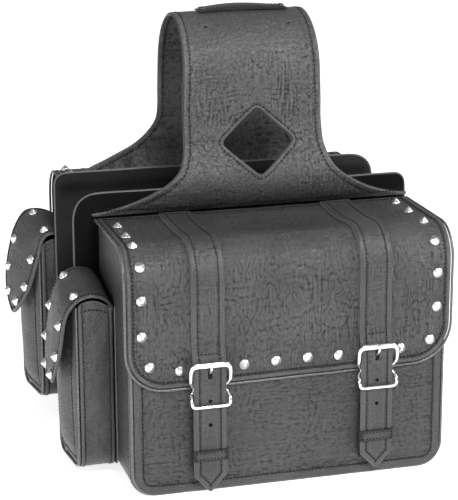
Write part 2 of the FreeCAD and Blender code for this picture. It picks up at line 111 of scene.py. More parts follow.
def resample(pts, step, closed=False):
    p = np.asarray(pts, float)
    if closed:
        p = np.vstack([p, p[:1]])
    seg = np.linalg.norm(np.diff(p, axis=0), axis=1)
    keep = np.concatenate([[True], seg > 1e-9])
    p = p[keep]
    s = np.concatenate([[0], np.cumsum(np.linalg.norm(np.diff(p, axis=0), axis=1))])
    n = max(int(round(s[-1] / step)), 4)
    t = np.linspace(0, s[-1], n + 1)
    if closed:
        t = t[:-1]
    return np.stack([np.interp(t, s, p[:, k]) for k in range(p.shape[1])], 1)


def catmull(pts, n=8, closed=False):
    p = np.asarray(pts, float)
    if closed:
        q = np.vstack([p[-1:], p, p[:2]])
    else:
        q = np.vstack([2 * p[0] - p[1], p, 2 * p[-1] - p[-2]])
    out = []
    t = np.linspace(0, 1, n, endpoint=False)[:, None]
    for i in range(1, len(q) - 2):
        a, b, c, d = q[i - 1], q[i], q[i + 1], q[i + 2]
        # centripetal-like tangents
        m1, m2 = (c - a) * 0.5, (d - b) * 0.5
        out.append((2 * t**3 - 3 * t**2 + 1) * b + (t**3 - 2 * t**2 + t) * m1 + (-2 * t**3 + 3 * t**2) * c + (t**3 - t**2) * m2)
    if not closed:
        out.append(p[-1:])
    return np.vstack(out)


def arc(cx, cy, r, a0, a1, n=14):
    a = np.radians(np.linspace(a0, a1, n))
    return np.stack([cx + r * np.cos(a), cy + r * np.sin(a)], 1)


def rounded(x0, x1, z0, z1, rl, ru=0.0):
    """Counter-clockwise rectangle with rounded lower and upper corners."""
    out = [arc(x0 + rl, z0 + rl, rl, 180, 270), arc(x1 - rl, z0 + rl, rl, 270, 360)]
    if ru:
        out += [arc(x1 - ru, z1 - ru, ru, 0, 90), arc(x0 + ru, z1 - ru, ru, 90, 180)]
    else:
        out += [np.array([[x1, z1], [x0, z1]])]
    return np.vstack(out)


def inward(p, closed=True):
    """Unit normals to the left of travel, at each point."""
    if closed:
        t = np.roll(p, -1, 0) - np.roll(p, 1, 0)
    else:
        t = np.gradient(p, axis=0)
    t /= np.maximum(np.linalg.norm(t, axis=1, keepdims=True), 1e-12)
    return np.stack([-t[:, 1], t[:, 0]], 1)


def smooth_closed(a, k, closed=True):
    for _ in range(k):
        if closed:
            a = 0.25 * np.roll(a, 1, 0) + 0.5 * a + 0.25 * np.roll(a, -1, 0)
        else:
            b = a.copy()
            b[1:-1] = 0.25 * a[:-2] + 0.5 * a[1:-1] + 0.25 * a[2:]
            a = b
    return a


def dist_poly(p, poly, closed=True, chunk=6000):
    """Distance of points to a polyline."""
    a = poly
    b = np.roll(poly, -1, 0) if closed else poly[1:]
    a = a if closed else poly[:-1]
    d = b - a
    L = np.maximum((d * d).sum(1), 1e-12)
    out = np.empty(len(p))
    for i in range(0, len(p), chunk):
        q = p[i:i + chunk, None, :] - a[None]
        t = np.clip((q * d[None]).sum(2) / L[None], 0, 1)
        r = q - t[..., None] * d[None]
        out[i:i + chunk] = np.sqrt((r * r).sum(2).min(1))
    return out


def inside(p, poly, chunk=6000):
    a, b = poly, np.roll(poly, -1, 0)
    out = np.zeros(len(p), bool)
    for i in range(0, len(p), chunk):
        q = p[i:i + chunk]
        c = (a[None, :, 1] > q[:, None, 1]) != (b[None, :, 1] > q[:, None, 1])
        with np.errstate(divide="ignore", invalid="ignore"):
            x = a[None, :, 0] + (q[:, None, 1] - a[None, :, 1]) * (b - a)[None, :, 0] / (b - a)[None, :, 1]
        out[i:i + chunk] = (c & (q[:, None, 0] < x)).sum(1) % 2 == 1
    return out


class Geo:
    """Vertices in millimetres, triangles and their material numbers."""

    def __init__(self):
        self.v, self.f, self.m, self.n = [], [], [], 0

    def add(self, v, f, m=0):
        v = np.asarray(v, float).reshape(-1, 3)
        f = np.asarray(f, int).reshape(-1, 3)
        self.v.append(v); self.f.append(f + self.n)
        self.m.append(np.full(len(f), m) if np.isscalar(m) else np.asarray(m))
        self.n += len(v)
        return self

    def join(self, other):
        return self.add(*other.get())

    def get(self):
        return np.vstack(self.v), np.vstack(self.f), np.concatenate(self.m)


def quads(nr, nc, close_c=False, close_r=False, flip=False):
    """Triangles of a grid with nr rows and nc columns of vertices."""
    r = np.arange(nr if close_r else nr - 1)
    c = np.arange(nc if close_c else nc - 1)
    R, C = np.meshgrid(r, c, indexing="ij")
    R2, C2 = (R + 1) % nr, (C + 1) % nc
    a, b, d, e = R * nc + C, R * nc + C2, R2 * nc + C2, R2 * nc + C
    t = np.concatenate([np.stack([a, b, d], -1).reshape(-1, 3), np.stack([a, d, e], -1).reshape(-1, 3)])
    return t[:, ::-1] if flip else t


def frames(path, closed, up=None):
    t = (np.roll(path, -1, 0) - np.roll(path, 1, 0)) if closed else np.gradient(path, axis=0)
    t /= np.maximum(np.linalg.norm(t, axis=1, keepdims=True), 1e-12)
    if up is not None:
        up = np.broadcast_to(np.asarray(up, float), t.shape)
        n = up - (up * t).sum(1, keepdims=True) * t
        n /= np.maximum(np.linalg.norm(n, axis=1, keepdims=True), 1e-12)
        return t, n, np.cross(t, n)
    n = np.zeros_like(t)
    ref = np.array([0, 0, 1.0]) if abs(t[0][2]) < 0.9 else np.array([1.0, 0, 0])
    n[0] = ref - ref @ t[0] * t[0]; n[0] /= np.linalg.norm(n[0])
    for i in range(1, len(t)):
        v = n[i - 1] - n[i - 1] @ t[i] * t[i]
        n[i] = v / max(np.linalg.norm(v), 1e-12)
    if closed:
        e = n[-1] - n[-1] @ t[0] * t[0]; e /= np.linalg.norm(e)
        ang = math.atan2(np.cross(e, n[0]) @ t[0], e @ n[0])
        for i in range(len(t)):
            a = ang * i / len(t)
            n[i] = n[i] * math.cos(a) + np.cross(t[i], n[i]) * math.sin(a)
    return t, n, np.cross(t, n)


def sweep(path, section, closed=False, up=None, cap=True, scale=None):
    """Carries a closed section, (k,2) along normal and binormal, along a path; a (n,k,2) section may vary."""
    path = np.asarray(path, float)
    t, n, b = frames(path, closed, up)
    sec = np.asarray(section, float)
    if sec.ndim == 2:
        sec = np.broadcast_to(sec, (len(path),) + sec.shape)
    if scale is not None:
        sec = sec * np.asarray(scale, float)[:, None, None]
    v = path[:, None] + sec[..., :1] * n[:, None] + sec[..., 1:] * b[:, None]
    k = sec.shape[1]
    f = quads(len(path), k, close_c=True, close_r=closed)
    g = Geo().add(v.reshape(-1, 3), f)
    if cap and not closed:
        for i, flip in ((0, False), (len(path) - 1, True)):
            ring = v[i]
            c = ring.mean(0, keepdims=True)
            a = np.arange(k)
            tri = np.stack([np.full(k, k), (a + 1) % k, a], 1)
            g.add(np.vstack([ring, c]), tri[:, ::-1] if flip else tri)
    return g


def circle(r, n=12, ry=None):
    a = np.linspace(0, 2 * math.pi, n, endpoint=False)
    return np.stack([r * np.cos(a), (ry or r) * np.sin(a)], 1)


def superellipse(a, b, n=20, e=3.0):
    t = np.linspace(0, 2 * math.pi, n, endpoint=False)
    c, s = np.cos(t), np.sin(t)
    return np.stack([a * np.sign(c) * np.abs(c) ** (2 / e), b * np.sign(s) * np.abs(s) ** (2 / e)], 1)


# ------------------------------------------------------------ sheet of leather
def sheet(outline, surf, height=None, thick=3.0, step=1.8, rings=(0, 0.35, 0.8, 1.5, 2.4, 3.4), holes=(), inner_step=7.0,
          roll=0.9, rim_bulge=0.2, inner=True, inner_height=None, extra=None, mats=(0, 1, 2), shaded_holes=0):
    """A sheet cut to an outline in its own (u, v) millimetres and laid on surf(u, v) -> places, normals.
    height(u, v, d) lifts its outer face; d is the distance from the cut edge, the last few punched holes left out; the
    walls of those holes take the inner finish, mats[2], as painted shade inside them."""
    g = Geo()
    outline = np.asarray(outline, float)
    inn = smooth_closed(inward(outline), 1)
    inn /= np.linalg.norm(inn, axis=1, keepdims=True)
    hs = [np.asarray(h, float) for h in holes]          # clockwise, so that inward() points into the sheet
    hin = []
    for h in hs:
        k = smooth_closed(inward(h), 1)
        hin.append(k / np.linalg.norm(k, axis=1, keepdims=True))
    loops = [(outline, inn)] + list(zip(hs, hin))

    def lift(p, d, h, side):
        P, N = surf(p[:, 0], p[:, 1])
        e = np.where(d < roll, -roll * (1 - np.sqrt(np.clip(1 - (1 - d / roll) ** 2, 0, 1))), 0.0)
        if shaded_holes and h is not None:
            d = dist_poly(p, outline)
            for q in hs[:len(hs) - shaded_holes]:
                d = np.minimum(d, dist_poly(p, q))
        z = e + (h(p[:, 0], p[:, 1], d) if h is not None else 0.0)
        return P + N * z[:, None], N

    def skin(rs, stp, h, mat, flip, back):
        firsts = []
        lasts = []
        for q, k in loops:
            rows = []
            for d in rs:
                p = q + k * d
                if back:
                    P, N = surf(p[:, 0], p[:, 1])
                    z = -(thick + (0 if inner_height is None else inner_height(p[:, 0], p[:, 1])))
                    P = P + N * np.reshape(z, (-1, 1))
                else:
                    P, N = lift(p, np.full(len(p), d), h, 1)
                rows.append(P)
            n = len(q)
            f = quads(len(rs), n, close_c=True)
            g.add(np.vstack(rows), f[:, ::-1] if flip else f, mat)
            firsts.append(rows[0]); lasts.append((q + k * rs[-1], rows[-1]))
        # inner region
        poly = lasts[0][0]
        lo, hi = poly.min(0), poly.max(0)
        us = np.arange(lo[0] + stp * 0.3, hi[0], stp)
        vs = np.arange(lo[1] + stp * 0.3, hi[1], stp * 0.866)
        U, Vv = np.meshgrid(us, vs)
        U = U + (np.arange(len(vs)) % 2)[:, None] * stp * 0.5
        pts = np.stack([U.ravel(), Vv.ravel()], 1)
        pts = pts[inside(pts, poly)]
        ok = dist_poly(pts, poly) > stp * 0.62
        pts = pts[ok]
        for (hp, _), hq in zip(lasts[1:], hs):
            ok = ~inside(pts, hp) & (dist_poly(pts, hp) > stp * 0.62)
            pts = pts[ok]
        if extra is not None and not back:
            ex = np.asarray(extra, float)
            ok = inside(ex, poly) & (dist_poly(ex, poly) > 0.7)
            for hp, _ in lasts[1:]:
                ok &= ~inside(ex, hp) & (dist_poly(ex, hp) > 0.7)
            ex = ex[ok]
            cell = {}
            for i, (a, b) in enumerate(np.floor(ex / stp).astype(int)):
                cell.setdefault((a, b), []).append(i)
            keep = np.ones(len(pts), bool)
            lim = (stp * 0.58) ** 2
            pc = np.floor(pts / stp).astype(int)
            for i in range(len(pts)):
                a, b = pc[i]
                near = [j for da in (-1, 0, 1) for db in (-1, 0, 1) for j in cell.get((a + da, b + db), ())]
                if near and ((ex[near] - pts[i]) ** 2).sum(1).min() < lim:
                    keep[i] = False
            pts = np.vstack([pts[keep], ex])
        allp = [l[0] for l in lasts] + [pts]
        edges, base = [], 0
        for l in lasts:
            n = len(l[0])
            edges += [(base + i, base + (i + 1) % n) for i in range(n)]
            base += n
        P2 = np.vstack(allp)
        res = delaunay_2d_cdt([Vector(p) for p in P2], edges, [], 1, 1e-7)
        tv = np.array([list(p) for p in res[0]], float)
        tf = np.array([list(x) for x in res[2] if len(x) == 3], int)
        if len(hs):
            cen = tv[tf].mean(1)
            for l in lasts[1:]:
                tf_ok = ~inside(cen, l[0])
                tf, cen = tf[tf_ok], cen[tf_ok]
        d = np.full(len(tv), 9.0)
        if not back:
            d = dist_poly(tv, outline)
            for q in hs:
                d = np.minimum(d, dist_poly(tv, q))
        if back:
            P, N = surf(tv[:, 0], tv[:, 1])
            z = -(thick + (0 if inner_height is None else inner_height(tv[:, 0], tv[:, 1])))
            P = P + N * np.reshape(z, (-1, 1))
        else:
            P, N = lift(tv, d, h, 1)
        # orientation: counter-clockwise in (u, v)
        e1, e2 = tv[tf[:, 1]] - tv[tf[:, 0]], tv[tf[:, 2]] - tv[tf[:, 0]]
        neg = e1[:, 0] * e2[:, 1] - e1[:, 1] * e2[:, 0] < 0
        tf[neg] = tf[neg][:, ::-1]
        g.add(P, tf[:, ::-1] if flip else tf, mat)
        return firsts

    top = skin(list(rings), step, height, mats[0], False, False)
    if inner:
        low = skin([0.0, 1.2], inner_step, None, mats[2], True, True)
        for i_, ((q, k), a, b) in enumerate(zip(loops, top, low)):
            n = len(q)
            P, N = surf(q[:, 0], q[:, 1])
            E, _ = surf(q[:, 0] - k[:, 0] * 0.5, q[:, 1] - k[:, 1] * 0.5)
            o = E - P
            o /= np.maximum(np.linalg.norm(o, axis=1, keepdims=True), 1e-9)
            rows = []
            for t in (0.0, 0.2, 0.5, 0.8, 1.0):
                rows.append(a * (1 - t) + b * t + o * rim_bulge * math.sin(math.pi * t) * thick * 0.5)
            f = quads(5, n, close_c=True)
            # the walls of the last punched holes take the dark inner finish instead of the cut edge's: painted shade
            # inside the holes
            g.add(np.vstack(rows), f[:, ::-1], mats[2] if i_ >= len(loops) - shaded_holes else mats[1])
    return g


def weld(v, f, m, tol=1e-4):
    """Joins vertices at the same place, so that smooth shading runs across."""
    key = np.round(v / tol).astype(np.int64)
    _, first, inv = np.unique(key, axis=0, return_index=True, return_inverse=True)
    inv = inv.reshape(-1)
    f2 = inv[f]
    ok = (f2[:, 0] != f2[:, 1]) & (f2[:, 1] != f2[:, 2]) & (f2[:, 0] != f2[:, 2])
    return v[first], f2[ok], m[ok]


SKIN_NORMALS = {}


def vertex_normals(v, f):
    n = np.cross(v[f[:, 1]] - v[f[:, 0]], v[f[:, 2]] - v[f[:, 0]])
    out = np.zeros_like(v)
    for k in range(3):
        np.add.at(out, f[:, k], n)
    return out / np.maximum(np.linalg.norm(out, axis=1, keepdims=True), 1e-12)


def relief(v, f, rounds=7):
    """How far each vertex stands above (+) or below (-) the smoothed surface round it, in millimetres."""
    e = np.vstack([f[:, [0, 1]], f[:, [1, 2]], f[:, [2, 0]]]).astype(np.int64)
    e = np.vstack([e, e[:, ::-1]])
    key = np.unique(e[:, 0] * len(v) + e[:, 1])
    a, b = key // len(v), key % len(v)
    cnt = np.bincount(a, minlength=len(v))
    has = cnt > 0
    start = np.concatenate([[0], np.cumsum(cnt[has])[:-1]])
    p = v.copy()
    for _ in range(rounds):
        p[has] = 0.45 * p[has] + 0.55 * np.add.reduceat(p[b], start, axis=0) / cnt[has][:, None]
    return ((v - p) * vertex_normals(v, f)).sum(1)


def make(name, geo, mats, side=-1, tol=1e-4, sharp=40.0, custom=None, rel=None):
    """Blender mesh object in metres; side +1 mirrors to the far bag."""
    v, f, m = geo.get() if isinstance(geo, Geo) else geo
    if custom is None:
        v, f, m = weld(v, f, m, tol)
    w = v.copy()
    w[:, 0] += BX
    if side > 0:
        w[:, 1] *= -1
        f = f[:, ::-1]
    w = w / 1000.0
    me = bpy.data.meshes.new(name)
    me.vertices.add(len(w))
    me.vertices.foreach_set("co", w.astype(np.float32).ravel())
    me.loops.add(len(f) * 3)
    me.loops.foreach_set("vertex_index", np.ascontiguousarray(f, dtype=np.int32).ravel())
    me.polygons.add(len(f))
    me.polygons.foreach_set("loop_start", np.arange(0, len(f) * 3, 3, dtype=np.int32))
    me.polygons.foreach_set("material_index", m.astype(np.int32))
    me.polygons.foreach_set("use_smooth", np.ones(len(f), bool))
    me.update(calc_edges=True)
    me.validate()
    if any("relief" in mat for mat in mats) and len(me.vertices) == len(v):
        at = me.attributes.new("relief", "FLOAT", "POINT")
        r_ = relief(v, f if side < 0 else f[:, ::-1]) if rel is None else rel
        r_ = np.where(r_ > 0.3, 0.3 * np.exp(-(r_ - 0.3) / 0.14), r_)       # strong relief above 0.3 mm fades out, so a cut edge gets neither the rubbed wear nor the painted sheen that ridges are given
        at.data.foreach_set("value", np.clip(r_, -1.5, 1.5).astype(np.float32))
    for mat in mats:
        me.materials.append(mat)
    if sharp is not None and custom is None:
        me.set_sharp_from_angle(angle=math.radians(sharp))
    if custom is not None:
        n = custom.copy()
        if side > 0:
            n[:, 1] *= -1
        me.normals_split_custom_set_from_vertices([tuple(x) for x in n])
    o = bpy.data.objects.new(name, me)
    bpy.context.scene.collection.objects.link(o)
    return o


# ===================================================================== finishes
def _mat(name):
    m = bpy.data.materials.new(name)
    m.use_nodes = True
    nt = m.node_tree
    b = nt.nodes["Principled BSDF"]
    return m, nt, b


def _n(nt, kind, **kw):
    n = nt.nodes.new(kind)
    for k, v in kw.items():
        if isinstance(k, str) and k.startswith("i_"):
            n.inputs[k[2:].replace("_", " ")].default_value = v
        else:
            setattr(n, k, v)
    return n


def _math(nt, op, a, b, clamp=False):
    n = nt.nodes.new("ShaderNodeMath")
    n.operation = op
    n.use_clamp = clamp
    for i, x in enumerate((a, b)):
        if isinstance(x, (int, float)):
            n.inputs[i].default_value = x
        else:
            nt.links.new(x, n.inputs[i])
    return n.outputs[0]


def leather_mat(name, base=0.04, rough=0.42, cell=3.4, stretch=(1, 1, 1), bump=0.55, fine=0.35, coat=0.0,
                mottle=0.25, spec=0.5, dist=0.00055, band=0.16, tint=(1.0, 1.0, 1.0), shade_and_wear=1.0):
    m, nt, b = _mat(name)
    L = nt.links.new
    tc = nt.nodes.new("ShaderNodeTexCoord")
    mp = nt.nodes.new("ShaderNodeMapping")
    mp.inputs["Scale"].default_value = stretch
    L(tc.outputs["Object"], mp.inputs["Vector"])
    wn = _n(nt, "ShaderNodeTexNoise", i_Scale=150.0, i_Detail=2.0)
    L(mp.outputs[0], wn.inputs["Vector"])
    sub = _n(nt, "ShaderNodeVectorMath", operation="SUBTRACT")
    L(wn.outputs["Color"], sub.inputs[0]); sub.inputs[1].default_value = (0.5, 0.5, 0.5)
    scl = _n(nt, "ShaderNodeVectorMath", operation="SCALE"); scl.inputs["Scale"].default_value = 0.0055
    L(sub.outputs[0], scl.inputs[0])
    add = _n(nt, "ShaderNodeVectorMath", operation="ADD")
    L(mp.outputs[0], add.inputs[0]); L(scl.outputs[0], add.inputs[1])
    v1 = _n(nt, "ShaderNodeTexVoronoi", feature="DISTANCE_TO_EDGE", i_Scale=1000.0 / cell)
    L(add.outputs[0], v1.inputs["Vector"])
    r1 = _n(nt, "ShaderNodeMapRange", interpolation_type="SMOOTHSTEP")
    r1.inputs["From Max"].default_value = band
    L(v1.outputs["Distance"], r1.inputs["Value"])
    v2 = _n(nt, "ShaderNodeTexVoronoi", feature="DISTANCE_TO_EDGE", i_Scale=1000.0 / (cell * 0.36))
    L(add.outputs[0], v2.inputs["Vector"])
    r2 = _n(nt, "ShaderNodeMapRange", interpolation_type="SMOOTHSTEP")
    r2.inputs["From Max"].default_value = 0.22
    L(v2.outputs["Distance"], r2.inputs["Value"])
    n2 = _n(nt, "ShaderNodeTexNoise", i_Scale=330.0, i_Detail=3.0, i_Roughness=0.55)
    L(add.outputs[0], n2.inputs["Vector"])
    patch = _n(nt, "ShaderNodeTexNoise", i_Scale=38.0, i_Detail=2.0)
    L(tc.outputs["Object"], patch.inputs["Vector"])
    pm = _n(nt, "ShaderNodeMapRange", interpolation_type="SMOOTHSTEP")
    pm.inputs["From Min"].default_value = 0.38; pm.inputs["From Max"].default_value = 0.62
    pm.inputs["To Min"].default_value = 0.45
    L(patch.outputs["Fac"], pm.inputs["Value"])
    h = _math(nt, "MULTIPLY", r1.outputs[0], pm.outputs[0])
    h = _math(nt, "ADD", h, _math(nt, "MULTIPLY", r2.outputs[0], fine))
    h = _math(nt, "ADD", h, _math(nt, "MULTIPLY", n2.outputs["Fac"], 1.1))
    bp = _n(nt, "ShaderNodeBump")
    bp.inputs["Strength"].default_value = bump
    bp.inputs["Distance"].default_value = dist
    L(h, bp.inputs["Height"])
    L(bp.outputs[0], b.inputs["Normal"])
    # mottled depth of colour and gloss
    big = _n(nt, "ShaderNodeTexNoise", i_Scale=16.0, i_Detail=4.0)
    L(tc.outputs["Object"], big.inputs["Vector"])
    cr = _n(nt, "ShaderNodeMapRange")
    cr.inputs["From Min"].default_value = 0.25; cr.inputs["From Max"].default_value = 0.75
    cr.inputs["To Min"].default_value = base * (1 - mottle); cr.inputs["To Max"].default_value = base * (1 + mottle)
    L(big.outputs["Fac"], cr.inputs["Value"])
    # darker along the grain's cell edges: painted shade in the grain's valleys
    dk = _math(nt, "MULTIPLY", cr.outputs[0], _math(nt, "ADD", _math(nt, "MULTIPLY", r1.outputs[0], 0.35), 0.65))
    # the relief attribute paints shade: creases are darker with less specular, and stay matt; ridges and cut edges are
    # lighter and glossier, partly rubbed wear and partly painted sheen
    m["relief"] = 1
    at = nt.nodes.new("ShaderNodeAttribute")
    at.attribute_name = "relief"
    lo = _n(nt, "ShaderNodeMapRange")
    lo.inputs["From Min"].default_value = -0.28; lo.inputs["From Max"].default_value = 0.0
    lo.inputs["To Min"].default_value = 1.0 - 0.58 * shade_and_wear; lo.inputs["To Max"].default_value = 1.0
    L(at.outputs["Fac"], lo.inputs["Value"])
    hi = _n(nt, "ShaderNodeMapRange")
    hi.inputs["From Min"].default_value = 0.02; hi.inputs["From Max"].default_value = 0.24
    hi.inputs["To Min"].default_value = 1.0; hi.inputs["To Max"].default_value = 1.0 + 0.42 * shade_and_wear
    L(at.outputs["Fac"], hi.inputs["Value"])
    dk = _math(nt, "MULTIPLY", dk, _math(nt, "MULTIPLY", lo.outputs[0], hi.outputs[0]))
    cc = _n(nt, "ShaderNodeCombineColor")
    for k in range(3):
        if tint[k] == 1.0:
            L(dk, cc.inputs[k])
        else:
            L(_math(nt, "MULTIPLY", dk, tint[k]), cc.inputs[k])
    L(cc.outputs[0], b.inputs["Base Color"])
    rr = _n(nt, "ShaderNodeMapRange")
    rr.inputs["From Min"].default_value = 0.3; rr.inputs["From Max"].default_value = 0.7
    rr.inputs["To Min"].default_value = rough + 0.05; rr.inputs["To Max"].default_value = rough - 0.06
    L(n2.outputs["Fac"], rr.inputs["Value"])
    dull = _n(nt, "ShaderNodeMapRange")
    dull.inputs["From Min"].default_value = -0.25; dull.inputs["From Max"].default_value = 0.25
    dull.inputs["To Min"].default_value = 0.16; dull.inputs["To Max"].default_value = -0.06
    L(at.outputs["Fac"], dull.inputs["Value"])
    L(_math(nt, "ADD", rr.outputs[0], dull.outputs[0]), b.inputs["Roughness"])
    sp = _n(nt, "ShaderNodeMapRange")
    sp.inputs["From Min"].default_value = -0.25; sp.inputs["From Max"].default_value = 0.05
    sp.inputs["To Min"].default_value = 0.35 * spec; sp.inputs["To Max"].default_value = spec
    L(at.outputs["Fac"], sp.inputs["Value"])
    L(sp.outputs[0], b.inputs["Specular IOR Level"])
    b.inputs["Coat Weight"].default_value = coat
    b.inputs["Coat Roughness"].default_value = 0.28
    return m


def plain_mat(name, col, rough, metal=0.0, spec=0.5, grain=None, gdist=0.0002, gstr=0.4, coat=0.0, gdetail=3.0):
    m, nt, b = _mat(name)
    b.inputs["Base Color"].default_value = (*col, 1) if hasattr(col, "__len__") else (col, col, col, 1)
    b.inputs["Roughness"].default_value = rough
    b.inputs["Metallic"].default_value = metal
    b.inputs["Specular IOR Level"].default_value = spec
    b.inputs["Coat Weight"].default_value = coat
    if grain:
        tc = nt.nodes.new("ShaderNodeTexCoord")
        nz = _n(nt, "ShaderNodeTexNoise", i_Scale=grain, i_Detail=gdetail)
        nt.links.new(tc.outputs["Object"], nz.inputs["Vector"])
        bp = _n(nt, "ShaderNodeBump")
        bp.inputs["Strength"].default_value = gstr
        bp.inputs["Distance"].default_value = gdist
        nt.links.new(nz.outputs["Fac"], bp.inputs["Height"])
        nt.links.new(bp.outputs[0], b.inputs["Normal"])
        rr = _n(nt, "ShaderNodeMapRange")
        rr.inputs["From Min"].default_value = 0.3; rr.inputs["From Max"].default_value = 0.7
        rr.inputs["To Min"].default_value = max(rough - 0.05, 0.02); rr.inputs["To Max"].default_value = min(rough + 0.06, 1)
        nt.links.new(nz.outputs["Fac"], rr.inputs["Value"])
        nt.links.new(rr.outputs[0], b.inputs["Roughness"])
    return m


def cloth_mat(name, col=0.02, pitch=0.7):
    """Plain-woven lining."""
    m, nt, b = _mat(name)
    L = nt.links.new
    tc = nt.nodes.new("ShaderNodeTexCoord")
    hs = []
    for axis in ("X", "Z", "Y"):
        w = _n(nt, "ShaderNodeTexWave", wave_type="BANDS", bands_direction=axis, i_Scale=1000.0 / pitch / 6.2832)
        L(tc.outputs["Object"], w.inputs["Vector"])
        hs.append(w.outputs["Fac"])
    h = _math(nt, "MULTIPLY", _math(nt, "MAXIMUM", hs[0], hs[2]), hs[1])
    bp = _n(nt, "ShaderNodeBump")
    bp.inputs["Strength"].default_value = 0.5
    bp.inputs["Distance"].default_value = 0.0002
    L(h, bp.inputs["Height"]); L(bp.outputs[0], b.inputs["Normal"])
    b.inputs["Base Color"].default_value = (col, col, col, 1)
    b.inputs["Roughness"].default_value = 0.85
    b.inputs["Specular IOR Level"].default_value = 0.3
    return m


M = {}
M["lid"] = leather_mat("lid leather", base=0.0475, rough=0.36, cell=3.1, stretch=(1.25, 1.0, 0.62), bump=0.8, dist=0.0007)
M["front"] = leather_mat("front leather", base=0.0345, rough=0.38, cell=3.3, stretch=(0.66, 1.0, 1.2), bump=0.6, dist=0.0007, shade_and_wear=0.5)
M["strap"] = leather_mat("strap leather", base=0.0390, rough=0.40, cell=2.6, stretch=(1, 1, 0.8), bump=0.4, shade_and_wear=0.75)
M["yoke"] = leather_mat("yoke leather", base=0.0535, rough=0.36, cell=4.6, stretch=(1, 1, 1), bump=0.8, dist=0.0007)
M["yoke_in"] = leather_mat("yoke inner leather", base=0.052, rough=0.44, cell=4.6, stretch=(1, 1, 1), bump=0.7)
M["side"] = leather_mat("side leather", base=0.044, rough=0.40, cell=3.3, stretch=(1, 0.8, 1.1), bump=0.65)
M["inner"] = cloth_mat("lining cloth", 0.016)
M["edge"] = plain_mat("cut edge", 0.15, 0.5, grain=900, gdist=0.0002)
M["edge_dark"] = plain_mat("dyed cut edge", 0.035, 0.5, grain=900, gdist=0.0002)
M["edge_yoke"] = plain_mat("rubbed cut edge", 0.065, 0.5, grain=900, gdist=0.0002)
M["binding"] = leather_mat("binding", base=0.036, rough=0.3, cell=1.6, bump=0.3, fine=0.2, spec=0.7)
M["piping"] = leather_mat("piping", base=0.06, rough=0.28, cell=1.5, bump=0.16, fine=0.2, spec=0.7, coat=0.24)
M["thread"] = plain_mat("thread", 0.004, 0.7, spec=0.25, grain=2600, gdist=0.0002)
M["stud"] = plain_mat("stud", 0.68, 0.34, metal=1.0, grain=60, gdist=0.00002, gstr=0.1)
M["chrome"] = plain_mat("chrome", 0.84, 0.2, metal=1.0, grain=60, gdist=0.00002, gstr=0.1)
M["plastic"] = plain_mat("clip plastic", 0.018, 0.38, grain=1500, gdist=0.00008)
M["board"] = plain_mat("board face", 0.004, 0.8, spec=0.06, grain=500, gdist=0.0002)
M["board_edge"] = plain_mat("board edge", 0.06, 0.6, grain=700, gdist=0.0002)
M["hook"] = plain_mat("hook and loop", 0.012, 0.95, grain=1300, gdist=0.0009, gstr=0.9)
M["stiff"] = plain_mat("stiffener sheet", 0.03, 0.6, grain=300)
M["rivet"] = plain_mat("dark rivet", 0.10, 0.3, metal=1.0, grain=400, gdist=0.00004)


# ============================================================ leather and thread
def leather(u, v, seed, au=1.0, av=1.0, amp=1.0, net=0.5, fine=1.0, size=1.0):
    """Pressed wrinkles in millimetres; au and av draw the pattern out along u or v."""
    size, amp = 0.66 * size, 1.05 * amp
    u = np.asarray(u, float) / size; v = np.asarray(v, float) / size
    wu = u + 2.8 * gn(u / 27, v / 27, seed + 1) + 0.9 * gn(u / 7, v / 7, seed + 3)
    wv = v + 2.8 * gn(u / 27, v / 27, seed + 2) + 0.9 * gn(u / 7, v / 7, seed + 4)
    n1 = gn(wu / (4.4 * au), wv / (4.4 * av), seed + 5)
    n2 = gn(wu / (15.0 * au), wv / (15.0 * av), seed + 6)
    m = ss(-0.2, 0.25, gn(u / 34, v / 34, seed + 7))
    m2 = ss(-0.15, 0.25, gn(u / 52 + 9.1, v / 52, seed + 12))
    l1 = np.exp(-(n1 / 0.24) ** 2)
    l2 = np.exp(-(n2 / 0.09) ** 2)
    f1, f2 = worley(wu / (10.5 * au), wv / (10.5 * av), seed + 8)
    e = np.exp(-((f2 - f1) / 0.10) ** 2)
    # bundles of long creases, some down the sheet and some across it, that cross into a hatch
    ka = gn(wu / (6.6 * au), wv / (44.0 * av), seed + 15); kb = gn(wu / (44.0 * au), wv / (7.0 * av), seed + 16)
    ma = ss(-0.10, 0.32, gn(u / 46 + 3.7, v / 62, seed + 17)); mb = ss(-0.10, 0.32, gn(u / 62, v / 46 + 5.1, seed + 18))
    cut = 0.45 + 0.55 * ss(-0.3, 0.2, gn(u / 13, v / 13, seed + 21))
    la = np.exp(-(ka / 0.24) ** 2) * (0.2 + 0.8 * ma); lb = np.exp(-(kb / 0.24) ** 2) * (0.2 + 0.8 * mb)
    return amp * (-0.13 * fine * l1 * m - 0.34 * l2 * (0.3 + 0.7 * m2) - (0.50 * la + 0.50 * lb) * cut
                  - net * 0.34 * e * (1 - 0.5 * m) + 0.30 * n2 + 0.14 * fine * n1)


def groove(d, at, deep=0.5, w=1.0):
    return -0.5 * deep * np.exp(-((d - at) / w) ** 2)


